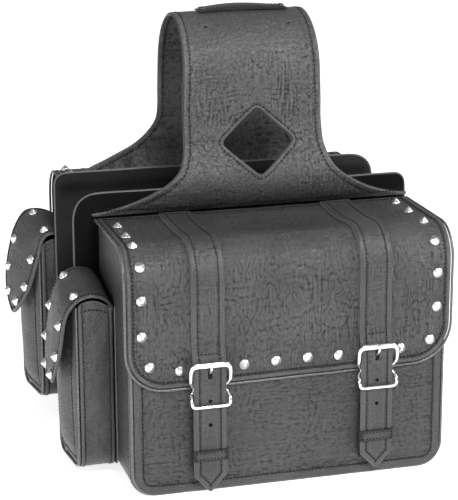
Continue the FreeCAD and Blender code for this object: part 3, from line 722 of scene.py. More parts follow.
def thread(P, N, pitch=4.5, length=2.8, r=0.66, rise=0.24, closed=False, start=0.5):
    """Dashes of thread along places P with normals N."""
    P = np.asarray(P, float); N = np.asarray(N, float)
    if closed:
        P = np.vstack([P, P[:1]]); N = np.vstack([N, N[:1]])
    s = np.concatenate([[0], np.cumsum(np.linalg.norm(np.diff(P, axis=0), axis=1))])
    n = max(int(s[-1] / pitch), 1)
    pitch = s[-1] / n
    c = (np.arange(n) + start) * pitch
    ds = np.array([-0.5, -0.28, 0.0, 0.28, 0.5]) * length
    hs = np.array([-0.42, 0.0, rise, 0.0, -0.42])
    rs = np.array([0.5, 1.0, 1.0, 1.0, 0.5]) * r
    q = np.clip(c[:, None] + ds[None], 0, s[-1])
    X = np.stack([np.interp(q, s, P[:, k]) for k in range(3)], -1)
    K = np.stack([np.interp(q, s, N[:, k]) for k in range(3)], -1)
    K /= np.linalg.norm(K, axis=-1, keepdims=True)
    T = X[:, -1] - X[:, 0]
    T /= np.maximum(np.linalg.norm(T, axis=-1, keepdims=True), 1e-9)
    B = np.cross(T[:, None, :], K)
    a = np.linspace(0, 2 * math.pi, 6, endpoint=False)
    V = (X + K * hs[None, :, None])[:, :, None, :] + rs[None, :, None, None] * (
        np.cos(a)[None, None, :, None] * K[:, :, None, :] + np.sin(a)[None, None, :, None] * B[:, :, None, :])
    f = quads(5, 6, close_c=True)[:, ::-1]
    f = np.vstack([f, [[0, 1, 2], [0, 2, 3], [0, 3, 4], [0, 4, 5]], np.array([[24, 26, 25], [24, 27, 26], [24, 28, 27], [24, 29, 28]])])
    F = (f[None] + (np.arange(n) * 30)[:, None, None]).reshape(-1, 3)
    return Geo().add(V.reshape(-1, 3), F)


def row(surf, height, uv, d, **kw):
    """Thread along (u, v) points on a sheet whose edge is d away."""
    uv = np.asarray(uv, float)
    P, N = surf(uv[:, 0], uv[:, 1])
    z = height(uv[:, 0], uv[:, 1], np.full(len(uv), d) if np.isscalar(d) else d) if height is not None else 0 * uv[:, 0]
    return thread(P + N * (z + 0.28)[:, None], N, **kw)


def inset(outline, d, step=1.4, smooth=2):
    o = np.asarray(outline, float)
    n = smooth_closed(inward(o), smooth)
    n /= np.linalg.norm(n, axis=1, keepdims=True)
    return resample(o + n * d, step, True)


def around(outline, ds, step=1.4):
    return np.vstack([inset(outline, d, step) for d in ds])


def lathe(profile, n=24):
    pr = np.asarray(profile, float)
    a = np.linspace(0, 2 * math.pi, n, endpoint=False)
    v = np.stack([pr[:, :1] * np.cos(a), pr[:, :1] * np.sin(a), np.repeat(pr[:, 1:2], n, 1)], -1)
    return Geo().add(v.reshape(-1, 3), quads(len(pr), n, close_c=True))


def placed(geo, at, normal, turn=0.0):
    v, f, m = geo.get()
    z = np.asarray(normal, float); z = z / np.linalg.norm(z)
    ref = np.array([1.0, 0, 0]) if abs(z[0]) < 0.8 else np.array([0, 1.0, 0])
    x = ref - ref @ z * z; x /= np.linalg.norm(x)
    y = np.cross(z, x)
    if turn:
        x, y = x * math.cos(turn) + y * math.sin(turn), y * math.cos(turn) - x * math.sin(turn)
    return v @ np.stack([x, y, z]) + np.asarray(at, float), f, m


STUD = lathe([(6.0, -0.4), (6.05, 0.25), (5.9, 0.7), (5.45, 1.15), (4.6, 1.85), (3.7, 2.7), (2.75, 3.65), (1.85, 4.55), (1.05, 5.15),
              (0.5, 5.38), (0.02, 5.42)], 26)


def lay(pf, h=0.4):
    """Surface from a place function alone; normals point along du x dv."""
    def f(u, v):
        u = np.asarray(u, float); v = np.asarray(v, float)
        a = pf(u + h, v) - pf(u - h, v)
        b = pf(u, v + h) - pf(u, v - h)
        n = np.cross(a, b)
        return pf(u, v), n / np.maximum(np.linalg.norm(n, axis=-1, keepdims=True), 1e-12)
    return f


def xyz(x, y, z):
    x, y, z = np.broadcast_arrays(np.asarray(x, float), np.asarray(y, float), np.asarray(z, float))
    return np.stack([x, y, z], -1)


def fillet(poly, r, n=7):
    """Rounds the corners of a polygon; r may be a list."""
    p = np.asarray(poly, float)
    k = len(p)
    rs = np.broadcast_to(np.asarray(r, float), (k,))
    out = []
    for i in range(k):
        a, b, c = p[i - 1], p[i], p[(i + 1) % k]
        e, f = a - b, c - b
        le, lf = np.linalg.norm(e), np.linalg.norm(f)
        e, f = e / le, f / lf
        ang = math.acos(max(-1.0, min(1.0, float(-(e @ f)))))
        if rs[i] <= 0 or ang < 0.02:
            out.append(b[None]); continue
        t = min(rs[i] * math.tan(ang / 2), 0.48 * min(le, lf))
        s = np.linspace(0, 1, n)[:, None]
        out.append((1 - s) ** 2 * (b + e * t) + 2 * s * (1 - s) * b + s ** 2 * (b + f * t))
    return np.vstack(out)


PIECES = {}


def both(name, geo, mats, body, replaces=(), sharp=40.0, tol=1e-4, warp=None, bend=None):
    """The same piece on both bags; body without its near_ or far_. bend, when given, keeps the piece off any body with
    its placement baked in; its (other body, start, end) values are not used.
    """
    for s, side in (("near_", -1), ("far_", 1)):
        gg = geo[0 if side < 0 else 1] if isinstance(geo, (list, tuple)) and isinstance(geo[0], Geo) else geo
        v, f, m = weld(*(gg.get() if isinstance(gg, Geo) else gg), tol)
        if warp is not None:
            v = warp(v, side > 0)
        o = make(s + name, (v, f, m), mats, side, sharp=sharp)
        if bend is None:
            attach(o, s + body)
        else:
            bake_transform(o)
        for n in replaces:
            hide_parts(s + n)
        PIECES[s + name] = o


# ============================================================= the bag's own body
STEP = 1.4
FX, FZ0, FZ1 = 185.4, 2.4, 262.0
front_out = resample(fillet([(-FX, FZ0), (FX, FZ0), (FX, FZ1), (-FX, FZ1)], [26, 26, 4, 4], 16), 1.7, True)


def front_p(u, v):
    cx = np.clip(1 - (u / 186.0) ** 2, 0, 1)
    cz = np.clip(1 - ((v - 90.0) / 110.0) ** 2, 0, 1)
    y = -219.3 - 1.3 * cx * cz - 0.5 * gn(u / 75.0, v / 60.0, 5)
    return xyz(u, y, v)


def front_h(u, v, d):
    puff = 1.0 * np.sin(np.pi * np.clip(d / 10.0, 0, 1)) * (d < 10)
    rise = 1.3 * ss(10.0, 26.0, d)
    w = ss(0.8, 3.5, d) * (0.45 + 0.55 * ss(9.5, 14.0, d))
    tuck = 0.25 * gn(u / 3.4, v / 3.4, 21) * np.exp(-((d - 10) / 3.2) ** 2)
    return puff + rise + groove(d, 10.0, 0.4, 1.0) + tuck + w * leather(u, v, 11, 1.7, 0.72, 0.85, 0.45)


front_s = lay(front_p)
g = sheet(front_out, front_s, front_h, 3.0, STEP, extra=around(front_out, (9.0, 10.0, 11.0)))
both("bag_front", g, [M["front"], M["edge"], M["inner"]], "bag", ["front_panel"])
line = inset(front_out, 10.0, 1.0)
line = line[line[:, 1] < 250]
k = int(np.argmax(np.linalg.norm(np.roll(line, -1, 0) - line, axis=1)))
line = np.roll(line, -(k + 1), 0)
T_BAG = row(front_s, front_h, line, 10.0)

# one long gusset: down the left end, along the base and up the right end
GU = [288.0 - 28.0]
GU = np.cumsum([260.0, 28 * math.pi / 2, 324.0, 28 * math.pi / 2, 260.0])


def gus_p(u, v):
    a1 = np.clip((u - GU[0]) / 28.0, 0, math.pi / 2)
    a2 = np.clip((u - GU[2]) / 28.0, 0, math.pi / 2)
    x = np.select([u < GU[0], u < GU[1], u < GU[2], u < GU[3]],
                  [-190.0 + 0 * u, -162.0 - 28 * np.cos(a1), -162.0 + (u - GU[1]), 162.0 + 28 * np.sin(a2)], 190.0 + 0 * u)
    z = np.select([u < GU[0], u < GU[1], u < GU[2], u < GU[3]],
                  [288.0 - u, 28.0 - 28 * np.sin(a1), 0 * u, 28.0 - 28 * np.cos(a2)], 28.0 + (u - GU[3]))
    q = np.clip((v - 67.0) / 150.0, 0, 1)
    swell = np.sin(np.pi * q) * np.where(u > GU[3], 2.4 * np.sin(np.pi * np.clip((u - GU[3]) / 250.0, 0, 1)), 0.0)
    x = x + swell
    return xyz(x, -v, z)


def gus_h(u, v, d):
    w = ss(0.8, 3.5, d)
    e = np.minimum(np.abs(v - 215.4), np.abs(v - 67.2))
    flat = np.where((u > GU[0] - 4) & (u < GU[3] + 4), 0.35, 1.0)
    on_pocket = ((u < 276) & (v < 152)) * 1.0
    return (0.6 * np.sin(np.pi * np.clip(e / 5.5, 0, 1)) * (e < 5.5) + groove(e, 5.5, 0.55, 0.9)
            + w * leather(u, v, 31, 0.8, 1.5, 0.45, 0.3) * flat) * (1 - on_pocket)


aa = np.linspace(0, 1, 10)
vv = 186.0 + 29.4 * aa
top_l = np.stack([32.0 - np.sqrt(np.maximum(34.0 ** 2 - (vv - 186.0) ** 2, 0)), vv], 1)
gus_out = np.vstack([[[0, 67.2], [GU[4], 67.2]], np.stack([GU[4] - top_l[:, 0], top_l[:, 1]], 1), top_l[::-1]])
# counter-clockwise in (u, v)
gus_out = resample(fillet(gus_out, 3.0, 4), 2.2, True)
gus_s = lay(gus_p)
gx = np.stack([np.concatenate([np.arange(2, GU[4] - 2, 1.6)] * 3),
               np.repeat([209.0, 209.9, 210.8], len(np.arange(2, GU[4] - 2, 1.6)))], 1)
g = sheet(gus_out, gus_s, gus_h, 3.0, 2.1, extra=gx[(gx[:, 0] > 22) & (gx[:, 0] < GU[4] - 22)])
both("bag_gusset", g, [M["side"], M["edge"], M["inner"]], "bag", ["end_panel_l", "end_panel_r", "base_panel"])
gl = np.stack([np.arange(30, GU[4] - 30, 1.2), np.full(len(np.arange(30, GU[4] - 30, 1.2)), 209.9)], 1)
T_BAG.join(row(gus_s, gus_h, gl, 5.5))

back_out = resample(fillet([(-187.0, 1.0), (187.0, 1.0), (187.0, 286.5), (-187.0, 286.5)], [26, 26, 4, 4], 12), 4.0, True)
back_s = lay(lambda u, v: xyz(-u, -67.4 - 0.6 * np.sin(np.pi * np.clip(v / 288, 0, 1)), v))
g = sheet(back_out, back_s, lambda u, v, d: ss(1, 4, d) * leather(u, v, 41, 1.2, 1.0, 0.5), 2.6, 4.0)
both("bag_back", g, [M["side"], M["edge"], M["inner"]], "bag", ["back_panel"])

# piping of the front panel, and of the end pocket's face
bp = resample(np.vstack([[[-187.6, 258.0]], arc(-159.6, 30.2, 28.0, 180, 270, 20), arc(159.6, 30.2, 28.0, 270, 360, 20), [[187.6, 258.0]]]), 2.2)
bp = smooth_closed(bp, 2, closed=False)
bead = sweep(xyz(bp[:, 0], -217.9 + 0.25 * gn(bp[:, 0] / 16, bp[:, 1] / 16, 4), bp[:, 1]), circle(1.6, 12), up=(0, -1, 0))

PY0, PY1, PZ0, PZ1 = -150.0, -68.0, 12.0, 206.0


def pk_warp(v, far):
    """How each end pocket sits: fuller towards one side, its mouth arched and its back sheet folded low; the far one is higher."""
    v = v.copy()
    u = np.clip((-v[:, 1] - 109.0) / 41.5, -1.25, 1.25)
    t = np.clip((-190.0 - v[:, 0]) / 46.0, 0, 1.2)
    z0 = v[:, 2].copy()
    v[:, 0] -= ((-1.0 + 5.0 * (u + 1)) if far else (-3.6 + 3.6 * (1 - u))) * t
    cam = 0.5 - 0.5 * u if far else 0.5 + 0.5 * u
    arch = 6.0 * ss(186.0, 209.0, z0) * np.sin(np.pi * np.clip((-190.0 - v[:, 0]) / 52.0, 0, 1))
    arch += (8.0 if far else 4.4) * cam * ss(182.0, 209.0, z0) * ss(214.0, 209.5, z0) * np.sin(np.pi * np.clip((-196.0 - v[:, 0]) / 46.0, 0, 1))
    low = (1 - ss(-200.0, -214.0, v[:, 0])) * np.maximum(z0 - 208.0, 0) * (0.62 + 0.28 * cam)
    v[:, 2] += (13.0 if far else 0.0) + arch - low
    return v


PM = 0.5 * (PY0 + PY1)
pk_path = resample(np.vstack([[[PY0, PZ1 + 3]], arc(PY0 + 18, PZ0 + 18, 18, 180, 270, 16), arc(PY1 - 18, PZ0 + 18, 18, 270, 360, 16),
                              [[PY1, PZ1 + 3]]]), 1.6)
ps = np.concatenate([[0], np.cumsum(np.linalg.norm(np.diff(pk_path, axis=0), axis=1))])
pn = -inward(pk_path, closed=False)


def pg_p(u, v):
    """Pocket's gusset: u down the front side, along the bottom and up the back; v from its face to the bag."""
    y = np.interp(u, ps, pk_path[:, 0]); z = np.interp(u, ps, pk_path[:, 1])
    ny = np.interp(u, ps, pn[:, 0]); nz = np.interp(u, ps, pn[:, 1])
    side = np.exp(-((u - 95) / 60) ** 2) + np.exp(-((ps[-1] - u - 95) / 60) ** 2)
    b = 2.2 * side * np.sin(np.pi * np.clip((v + 236.5) / 44.0, 0, 1)) - 0.3
    b = b * np.where((u > ps[-1] * 0.5) , 0.2, 1.0)
    top = np.clip((z - 186.0) / 20.0, 0, 1)
    return xyz(v, y + ny * b, z + nz * b - 3.5 * top * np.sin(np.pi * np.clip((v + 236.5) / 44.0, 0, 1)) * 0)


def pg_h(u, v, d):
    e = np.minimum(np.abs(v + 236.3), np.abs(v + 193.0))
    end = np.minimum(u, ps[-1] - u)
    w = ss(0.6, 3.0, d)
    return (0.55 * np.sin(np.pi * np.clip(e / 5.0, 0, 1)) * (e < 5.0) + groove(e, 5.0, 0.34, 0.9)
            + groove(end, 8.5, 0.5, 0.9) + w * ss(4, 8, e) * leather(u, v, 51, 1.3, 0.8, 0.4, 0.3) + 0.9 * ss(5, 14, e) * gn(u / 30.0 + v / 26.0, v / 20.0 - u / 60.0, 57))


pg_out = resample(fillet([(0.5, -236.3), (ps[-1] - 0.5, -236.3), (ps[-1] - 0.5, -193.0), (0.5, -193.0)], 3.0, 4), 1.8, True)
pg_s = lay(pg_p)
uu = np.arange(4, ps[-1] - 4, 1.5)
ex = np.vstack([np.stack([uu, np.full(len(uu), c)], 1) for c in (-232.2, -231.3, -230.4, -198.9, -198.0, -197.1)])
vv2 = np.arange(-230, -199, 1.5)
ex = np.vstack([ex] + [np.stack([np.full(len(vv2), c), vv2], 1) for c in (7.6, 8.5, 9.4)])
g = sheet(pg_out, pg_s, pg_h, 2.4, STEP, extra=ex)
both("pocket_side", g, [M["side"], M["edge_dark"], M["inner"]], "bag", ["pocket_gusset"], warp=pk_warp)
T_PK = Geo()
for c in (-231.3, -198.0):
    T_PK.join(row(pg_s, pg_h, np.stack([uu[4:-4], np.full(len(uu) - 8, c)], 1), 5.0))
T_PK.join(row(pg_s, pg_h, np.stack([np.full(len(vv2), 8.5), vv2], 1), 8.5))


def pf_p(u, v):
    """Pocket's bulging face; u is -y, v is z."""
    a = np.clip((u - 70.0) / 78.0, 0, 1)
    b = np.clip((v - 14.0) / 192.0, 0, 1)
    amp = 3.0 + 9.0 * np.sin(np.pi * np.clip(b * 0.86 + 0.02, 0, 1)) ** 0.75
    bulge = amp * np.sin(np.pi * a) ** 0.8 * ss(0.0, 0.14, b)
    return xyz(-237.9 - bulge - 0.5 * gn(u / 30, v / 34, 62), -u, v)


def pf_h(u, v, d):
    w = ss(0.8, 3.0, d)
    return (0.8 * np.sin(np.pi * np.clip(d / 7.5, 0, 1)) * (d < 7.5) + groove(d, 7.5, 0.34, 0.9)
            + w * leather(u, v, 61, 1.5, 0.8, 0.5, 0.35))


pf_out = resample(fillet([(72.2, 16.2), (145.8, 16.2), (145.8, 207.0), (72.2, 207.0)], [14, 14, 3, 3], 9), 1.6, True)
pf_s = lay(pf_p)
g = sheet(pf_out, pf_s, pf_h, 2.2, STEP, extra=around(pf_out, (6.6, 7.5, 8.4)))
both("pocket_face", g, [M["side"], M["edge"], M["inner"]], "bag", ["pocket_panel"], warp=pk_warp)
T_PK.join(row(pf_s, pf_h, inset(pf_out, 7.5, 1.0), 7.5, closed=True))
pw = resample(np.vstack([[[PY0 + 1.9, PZ1 + 1]], arc(PY0 + 18, PZ0 + 18, 16.1, 180, 270, 14), arc(PY1 - 18, PZ0 + 18, 16.1, 270, 360, 14),
                         [[PY1 - 1.9, PZ1 + 1]]]), 2.0)
pwelt = sweep(xyz(-238.7 - 0.0 * pw[:, 0], pw[:, 0], pw[:, 1]), circle(1.5, 12), up=(-1, 0, 0))
both("pocket_welt", pwelt, [M["piping"]], "bag", warp=pk_warp)
both("bag_welt", bead, [M["piping"]], "bag", ["bag_piping"])

# inner sheet of the pocket, carrying the flap's hinge
pb = catmull([(-191.5, 12.5), (-191.5, 120), (-191.5, 214), (-192.6, 226), (-197.5, 234.2), (-205.5, 237.0)], 10)
pbs = np.concatenate([[0], np.cumsum(np.linalg.norm(np.diff(pb, axis=0), axis=1))])
pb_s = lay(lambda u, v: xyz(np.interp(v, pbs, pb[:, 0]), -u, np.interp(v, pbs, pb[:, 1])))
pb_out = resample(fillet([(68.6, 1), (149.4, 1), (149.4, pbs[-1]), (68.6, pbs[-1])], [12, 12, 26, 26], 9), 2.4, True)
g = sheet(pb_out, pb_s, lambda u, v, d: 0.6 * ss(1, 3, d) * leather(u, v, 71, 1, 1, 0.5), 2.2, 2.6)
both("pocket_inner", g, [M["side"], M["edge"], M["inner"]], "bag", ["pocket_back"], warp=pk_warp)


# ========================================================================= lid
QR = 0.5 * math.pi * 38.0
V_TOP = 256.0 + QR + 116.8


def lid_at(u, v, off=0.0):
    """Lid's outer face lifted by off: v is z up the skirt, then runs over the bend and back along the top."""
    u, v = np.broadcast_arrays(np.asarray(u, float), np.asarray(v, float))
    r = 38.0 + off
    a = np.clip((v - 256.0) / 38.0, 0, math.pi / 2)
    t = np.maximum(v - (256.0 + QR), 0)
    y = -186.0 - r * np.cos(a) + t
    z = np.where(v < 256, v, 256.0 + r * np.sin(a))
    q = np.clip(t / 116.8, 0, 1)
    sag = -3.4 * np.sin(np.pi * np.clip(q * 0.92 + 0.04, 0, 1)) * (1 - (u / 192.5) ** 2) * ss(0, 0.25, q)
    sag += 0.8 * gn(u / 62.0, v / 55.0, 91) * ss(0, 30, t) * (1 - (u / 192.5) ** 4)
    z = z + sag
    # the skirt is full in the middle and the bend a little uneven
    y = y - (0.9 * gn(u / 70.0, v / 60.0, 92) + 0.5 * (1 - (u / 192.5) ** 2)) * ss(256 + 0.8 * QR, 240, v)
    z = z + 0.9 * gn(u / 48.0, 3.1, 93) * np.sin(2 * a) * (a < math.pi / 2)
    # lifts a touch towards the free edge
    y = y - 1.0 * ss(175, 133, v) * (0.5 + gn(u / 55.0, 1.7, 94))
    return xyz(u, y, z)


lid_s = lay(lid_at)
LX = 192.3


def tilt(p, k=0.0135):
    p = np.array(p, float)
    w = ss(255.0, 175.0, p[:, 1])
    p[:, 1] += p[:, 0] * k * w
    return p


_lo = tilt(np.vstack([arc(-LX + 44, 133.4 + 44, 44, 180, 270, 22), arc(LX - 44, 133.4 + 44, 44, 270, 360, 22)]))
lid_out = np.vstack([[[-LX, V_TOP - 2]], [[-LX, 300.0]], _lo, [[LX, 300.0]], [[LX, V_TOP - 2]], [[LX - 2, V_TOP]], [[-LX + 2, V_TOP]]])
lid_out = resample(lid_out, 1.7, True)
under_strap = lambda u: 1 - ss(21.5, 18.5, np.abs(np.abs(u) - 100.0))


def lid_h(u, v, d):
    back = ss(V_TOP - 10, V_TOP - 4, v)          # no binding along the back edge
    band = 0.75 * ss(0.0, 0.9, d) * (1 - ss(4.3, 5.0, d)) * (1 - back)
    w = ss(4.6, 6.2, d) * (0.35 + 0.65 * ss(7.5, 12, d))
    front = ss(300, 262, v)
    cr = front * leather(u, v, 111, 0.78, 1.75, 0.95, 0.4) + (1 - front) * leather(u, v, 121, 1.35, 0.95, 0.75, 0.5)
    pil = 0.9 * ss(7.0, 22.0, d) - 0.25 * ss(4.4, 5.2, d)
    tuck = 0.22 * gn(u / 3.2, v / 3.2, 22) * np.exp(-((d - 7.4) / 3.0) ** 2)
    return band + pil + (groove(d, 7.4, 0.4, 1.0) + tuck) * (1 - back) + w * cr * (0.35 + 0.65 * under_strap(u))


ex = around(lid_out, (4.1, 4.7, 5.3, 6.5, 7.4, 8.3), 1.4)
ex = ex[ex[:, 1] < V_TOP - 9]
g = sheet(lid_out, lid_s, lid_h, 3.0, STEP, mats=(0, 1, 2), extra=ex)
both("lid_skin", g, [M["lid"], M["binding"], M["inner"]], "lid_assembly", ["lid"])


def open_line(out, d, top, step=1.0):
    """Inset of an outline below v = top, as one open run from its upper left."""
    q = inset(out, d, step)
    q = q[q[:, 1] < top]
    k = int(np.argmax(np.linalg.norm(np.roll(q, -1, 0) - q, axis=1)))
    return np.roll(q, -(k + 1), 0)


l74 = open_line(lid_out, 7.4, V_TOP - 4)
T_LID = row(lid_s, lid_h, l74, 7.4)
# bead below the binding
bd = open_line(lid_out, -2.5, V_TOP - 1, 2.0)
bd = smooth_closed(bd, 3, closed=False)
P, N = lid_s(bd[:, 0], bd[:, 1])
lid_bead = sweep(P - N * 1.0, circle(1.6, 12), up=N)
both("lid_bead", lid_bead, [M["piping"]], "lid_assembly", ["lid_piping"])
# the far lid's bead gets a darker, duller copy of the piping finish: painted shade that hides the side lamp's highlight
# on it
PIECES["far_lid_bead"].material_slots[0].material = leather_mat("piping_shaded_copy", base=0.05, rough=0.5, cell=1.5, bump=0.16, fine=0.2, spec=0.45, coat=0.0)

# the sheet that stiffens the lid sags with it
st_out = resample(fillet([(-178, 319), (178, 319), (178, 422), (-178, 422)], 5, 5), 5, True)
st_s = lay(lambda u, v: lid_at(u, v, -4.3))
g = sheet(st_out, st_s, None, 1.5, 7.0)
both("lid_stiffener", g, [M["stiff"], M["stiff"], M["stiff"]], "lid_assembly", ["lid_stiffener"])

# studs
studs = Geo()
for x, z in [(-176, 275), (-176, 237), (-176, 195), (176, 241), (176, 200), (174, 278), (-167.5, 158.5), (168.5, 160.5), (-132.3, 151.5),
             (-95, 151.5), (-57.5, 152), (-19.5, 152.5), (18.5, 153), (56, 152.5), (94, 153), (131.6, 153.5)]:
    v = z if z <= 256 else 256 + 38 * math.asin((z - 256) / 38.5)
    P, N = lid_s(np.array([float(x)]), np.array([float(v)]))
    studs.add(*placed(STUD, P[0] + N[0] * 0.75, N[0]))
for x, y in [(-177, -113), (-178, -160), (171, -97), (171, -140), (-178.5, -196), (170, -191)]:
    v = 256 + QR + (y + 186) if y > -186 else 256 + 38 * math.acos((-186 - y) / 38.0)
    P, N = lid_s(np.array([float(x)]), np.array([float(v)]))
    studs.add(*placed(STUD, P[0] + N[0] * 0.75, N[0]))
both("lid_studs", studs, [M["stud"]], "lid_assembly", ["lid_studs"], sharp=30)

# ================================================================ straps and buckles
STR = [("l", -100.0, 129.5, 4.0, 25.0, 43.5, (115.0, 86.5)), ("r", 100.0, 132.8, 11.5, 31.0, 46.5, (120.5, 92.0))]
S_TOP = 256.0 + QR + 111.0
strap_geo, strap_thr, keep_geo, keep_thr, chape_geo = Geo(), Geo(), Geo(), Geo(), Geo()
for tag, sx, zb, tip, sh, kz, hs in STR:
    def strap_p(u, v, sx=sx, tip=tip):
        P = lid_at(sx + u, np.maximum(v, 150.0), 3.55)
        u, v = np.broadcast_arrays(np.asarray(u, float), np.asarray(v, float))
        lean = 0.8 * np.sin((v - tip) / 33.0) * ss(60, 20, v)
        k = ss(184.0, 152.0, v)
        y = P[..., 1] * (1 - k) + (-234.9) * k - lean * k
        z = np.where(v < 150, v, P[..., 2])
        return xyz(P[..., 0], y, z)

    strap_s = lay(strap_p)
    o = fillet([(-19.0, S_TOP), (-19.0, sh), (0.0, tip), (19.0, sh), (19.0, S_TOP)], [2.5, 5, 3.2, 5, 2.5], 7)
    o = resample(o, 1.25, True)

    def strap_h(u, v, d, k=int(sx)):
        mid = ss(8.0, 11.0, d)
        tail = ss(150, 110, v)
        wr = leather(u, v, 131 + k, 0.9, 1.25, 0.62, 0.35, size=0.9) * (1 - 0.62 * tail)
        return (0.6 * np.sin(np.pi * np.clip(d / 6.5, 0, 1)) * (d < 6.5) + groove(d, 6.5, 0.32, 0.9) + 0.35 * mid + ss(0.8, 2.6, d) * wr)

    holes = []
    for h in hs:
        holes.append(arc(0, h, 2.3, 0, -360, 19)[:-1])
    hz = zb + 17.4
    holes.append(np.vstack([arc(0, hz - 3.2, 2.4, 0, -180, 9), arc(0, hz + 3.6, 2.4, 180, 0, 9)]))
    row_o = open_line(o, 6.5, S_TOP - 3.0, 1.0)
    ex = np.vstack([open_line(o, q, S_TOP - 2.0, 1.3) for q in (5.7, 6.5, 7.3)])
    g = sheet(o, strap_s, strap_h, 3.0, 1.35, holes=holes, extra=ex, rings=(0, 0.3, 0.8, 1.5, 2.3), mats=(0, 1, 2),
              shaded_holes=len(holes), roll=0.6)
    strap_geo.join(g)
    strap_thr.join(row(strap_s, strap_h, row_o, 6.5, pitch=4.0, length=2.4))
    # cross row sewn through the lid above the buckle
    zc = 172.0 - 2.0
    if tag == "r":
        zc = 176.0
    uu = np.arange(-11.0, 11.2, 0.5)
    strap_thr.join(row(strap_s, strap_h, np.stack([uu, np.full(len(uu), zc)], 1), 12.0, pitch=3.9, length=3.1))

    # keeper: a sewn loop with raised lips
    yk = -233.3
    lp = fillet([(sx - 20.4, yk + 2.6), (sx + 20.4, yk + 2.6), (sx + 20.4, yk - 2.6), (sx - 20.4, yk - 2.6)], 2.2, 6)
    lp = resample(lp, 1.2, True)
    crown = 0.7 * np.clip(1 - ((lp[:, 0] - sx) / 20.4) ** 2, 0, 1) * (lp[:, 1] < yk)
    path = xyz(lp[:, 0], lp[:, 1] - crown, np.full(len(lp), kz + 6.5))
    zz = np.linspace(-6.4, 6.4, 27)
    t_out = 0.85 + 0.42 * np.exp(-((np.abs(zz) - 5.5) / 0.8) ** 2) - 0.22 * np.exp(-((np.abs(zz) - 3.7) / 0.7) ** 2)
    t_out = t_out * np.sqrt(np.clip(1 - (np.abs(zz) / 6.6) ** 14, 0, 1))
    sec = np.vstack([np.stack([zz, t_out], 1), np.stack([zz[::-1][::3], np.full(9, -0.75)], 1)])
    t_, n_, b_ = frames(path, True, up=(0, 0, 1))
    cen = np.array([sx, yk, kz + 6.5])
    if ((path[0] - cen) @ b_[0]) < 0:
        sec = np.stack([sec[:, 0], -sec[:, 1]], 1)[::-1]
    keep_geo.join(sweep(path, sec, closed=True, up=(0, 0, 1)))
    for zo in (-3.7, 3.7):
        q = np.linspace(-18.5, 18.5, 60)
        cr = 0.7 * np.clip(1 - (q / 20.4) ** 2, 0, 1)
        keep_thr.join(thread(xyz(sx + q, yk - 2.6 - cr - 0.72, kz + 6.5 + zo), np.broadcast_to([0, -1.0, 0], (60, 3)), pitch=4.1))

    # turned leather round the buckle's bar
    for cx in (-9.9, 9.9):
        al = np.radians(np.linspace(-175, 95, 22))
        pth = np.vstack([np.stack([-228.45 - 2.65 * np.cos(al), zb + 2.65 * np.sin(al)], 1)[::-1]])
        pth = np.vstack([[[-227.3 - 1.2, zb + 3.0]], np.stack([-228.45 + 2.65 * np.cos(np.radians(np.linspace(80, -170, 20))),
                                                           zb + 2.65 * np.sin(np.radians(np.linspace(80, -170, 20)))], 1)])
        pth = np.stack([-228.45 + 2.6 * np.cos(np.radians(np.linspace(100, -180, 24))), zb + 2.6 * np.sin(np.radians(np.linspace(100, -180, 24)))], 1)
        pth = np.vstack([pth, [[-231.0, zb - 6], [-230.8, 116.0], [-230.6, 108.5]]])
        chape_geo.join(sweep(xyz(np.full(len(pth), sx + cx), pth[:, 0], pth[:, 1]), superellipse(6.1, 0.55, 16, 4), up=(1, 0, 0)))

both("straps", strap_geo, [M["strap"], M["edge"], M["inner"]], "lid_assembly", ["lid_straps"])
both("strap_keepers", keep_geo, [M["strap"]], "lid_assembly", ["keepers"])
both("buckle_chapes", chape_geo, [M["strap"]], "lid_assembly", ["chapes"])
T_LID.join(strap_thr).join(keep_thr)
both("lid_thread", T_LID, [M["thread"]], "lid_assembly")

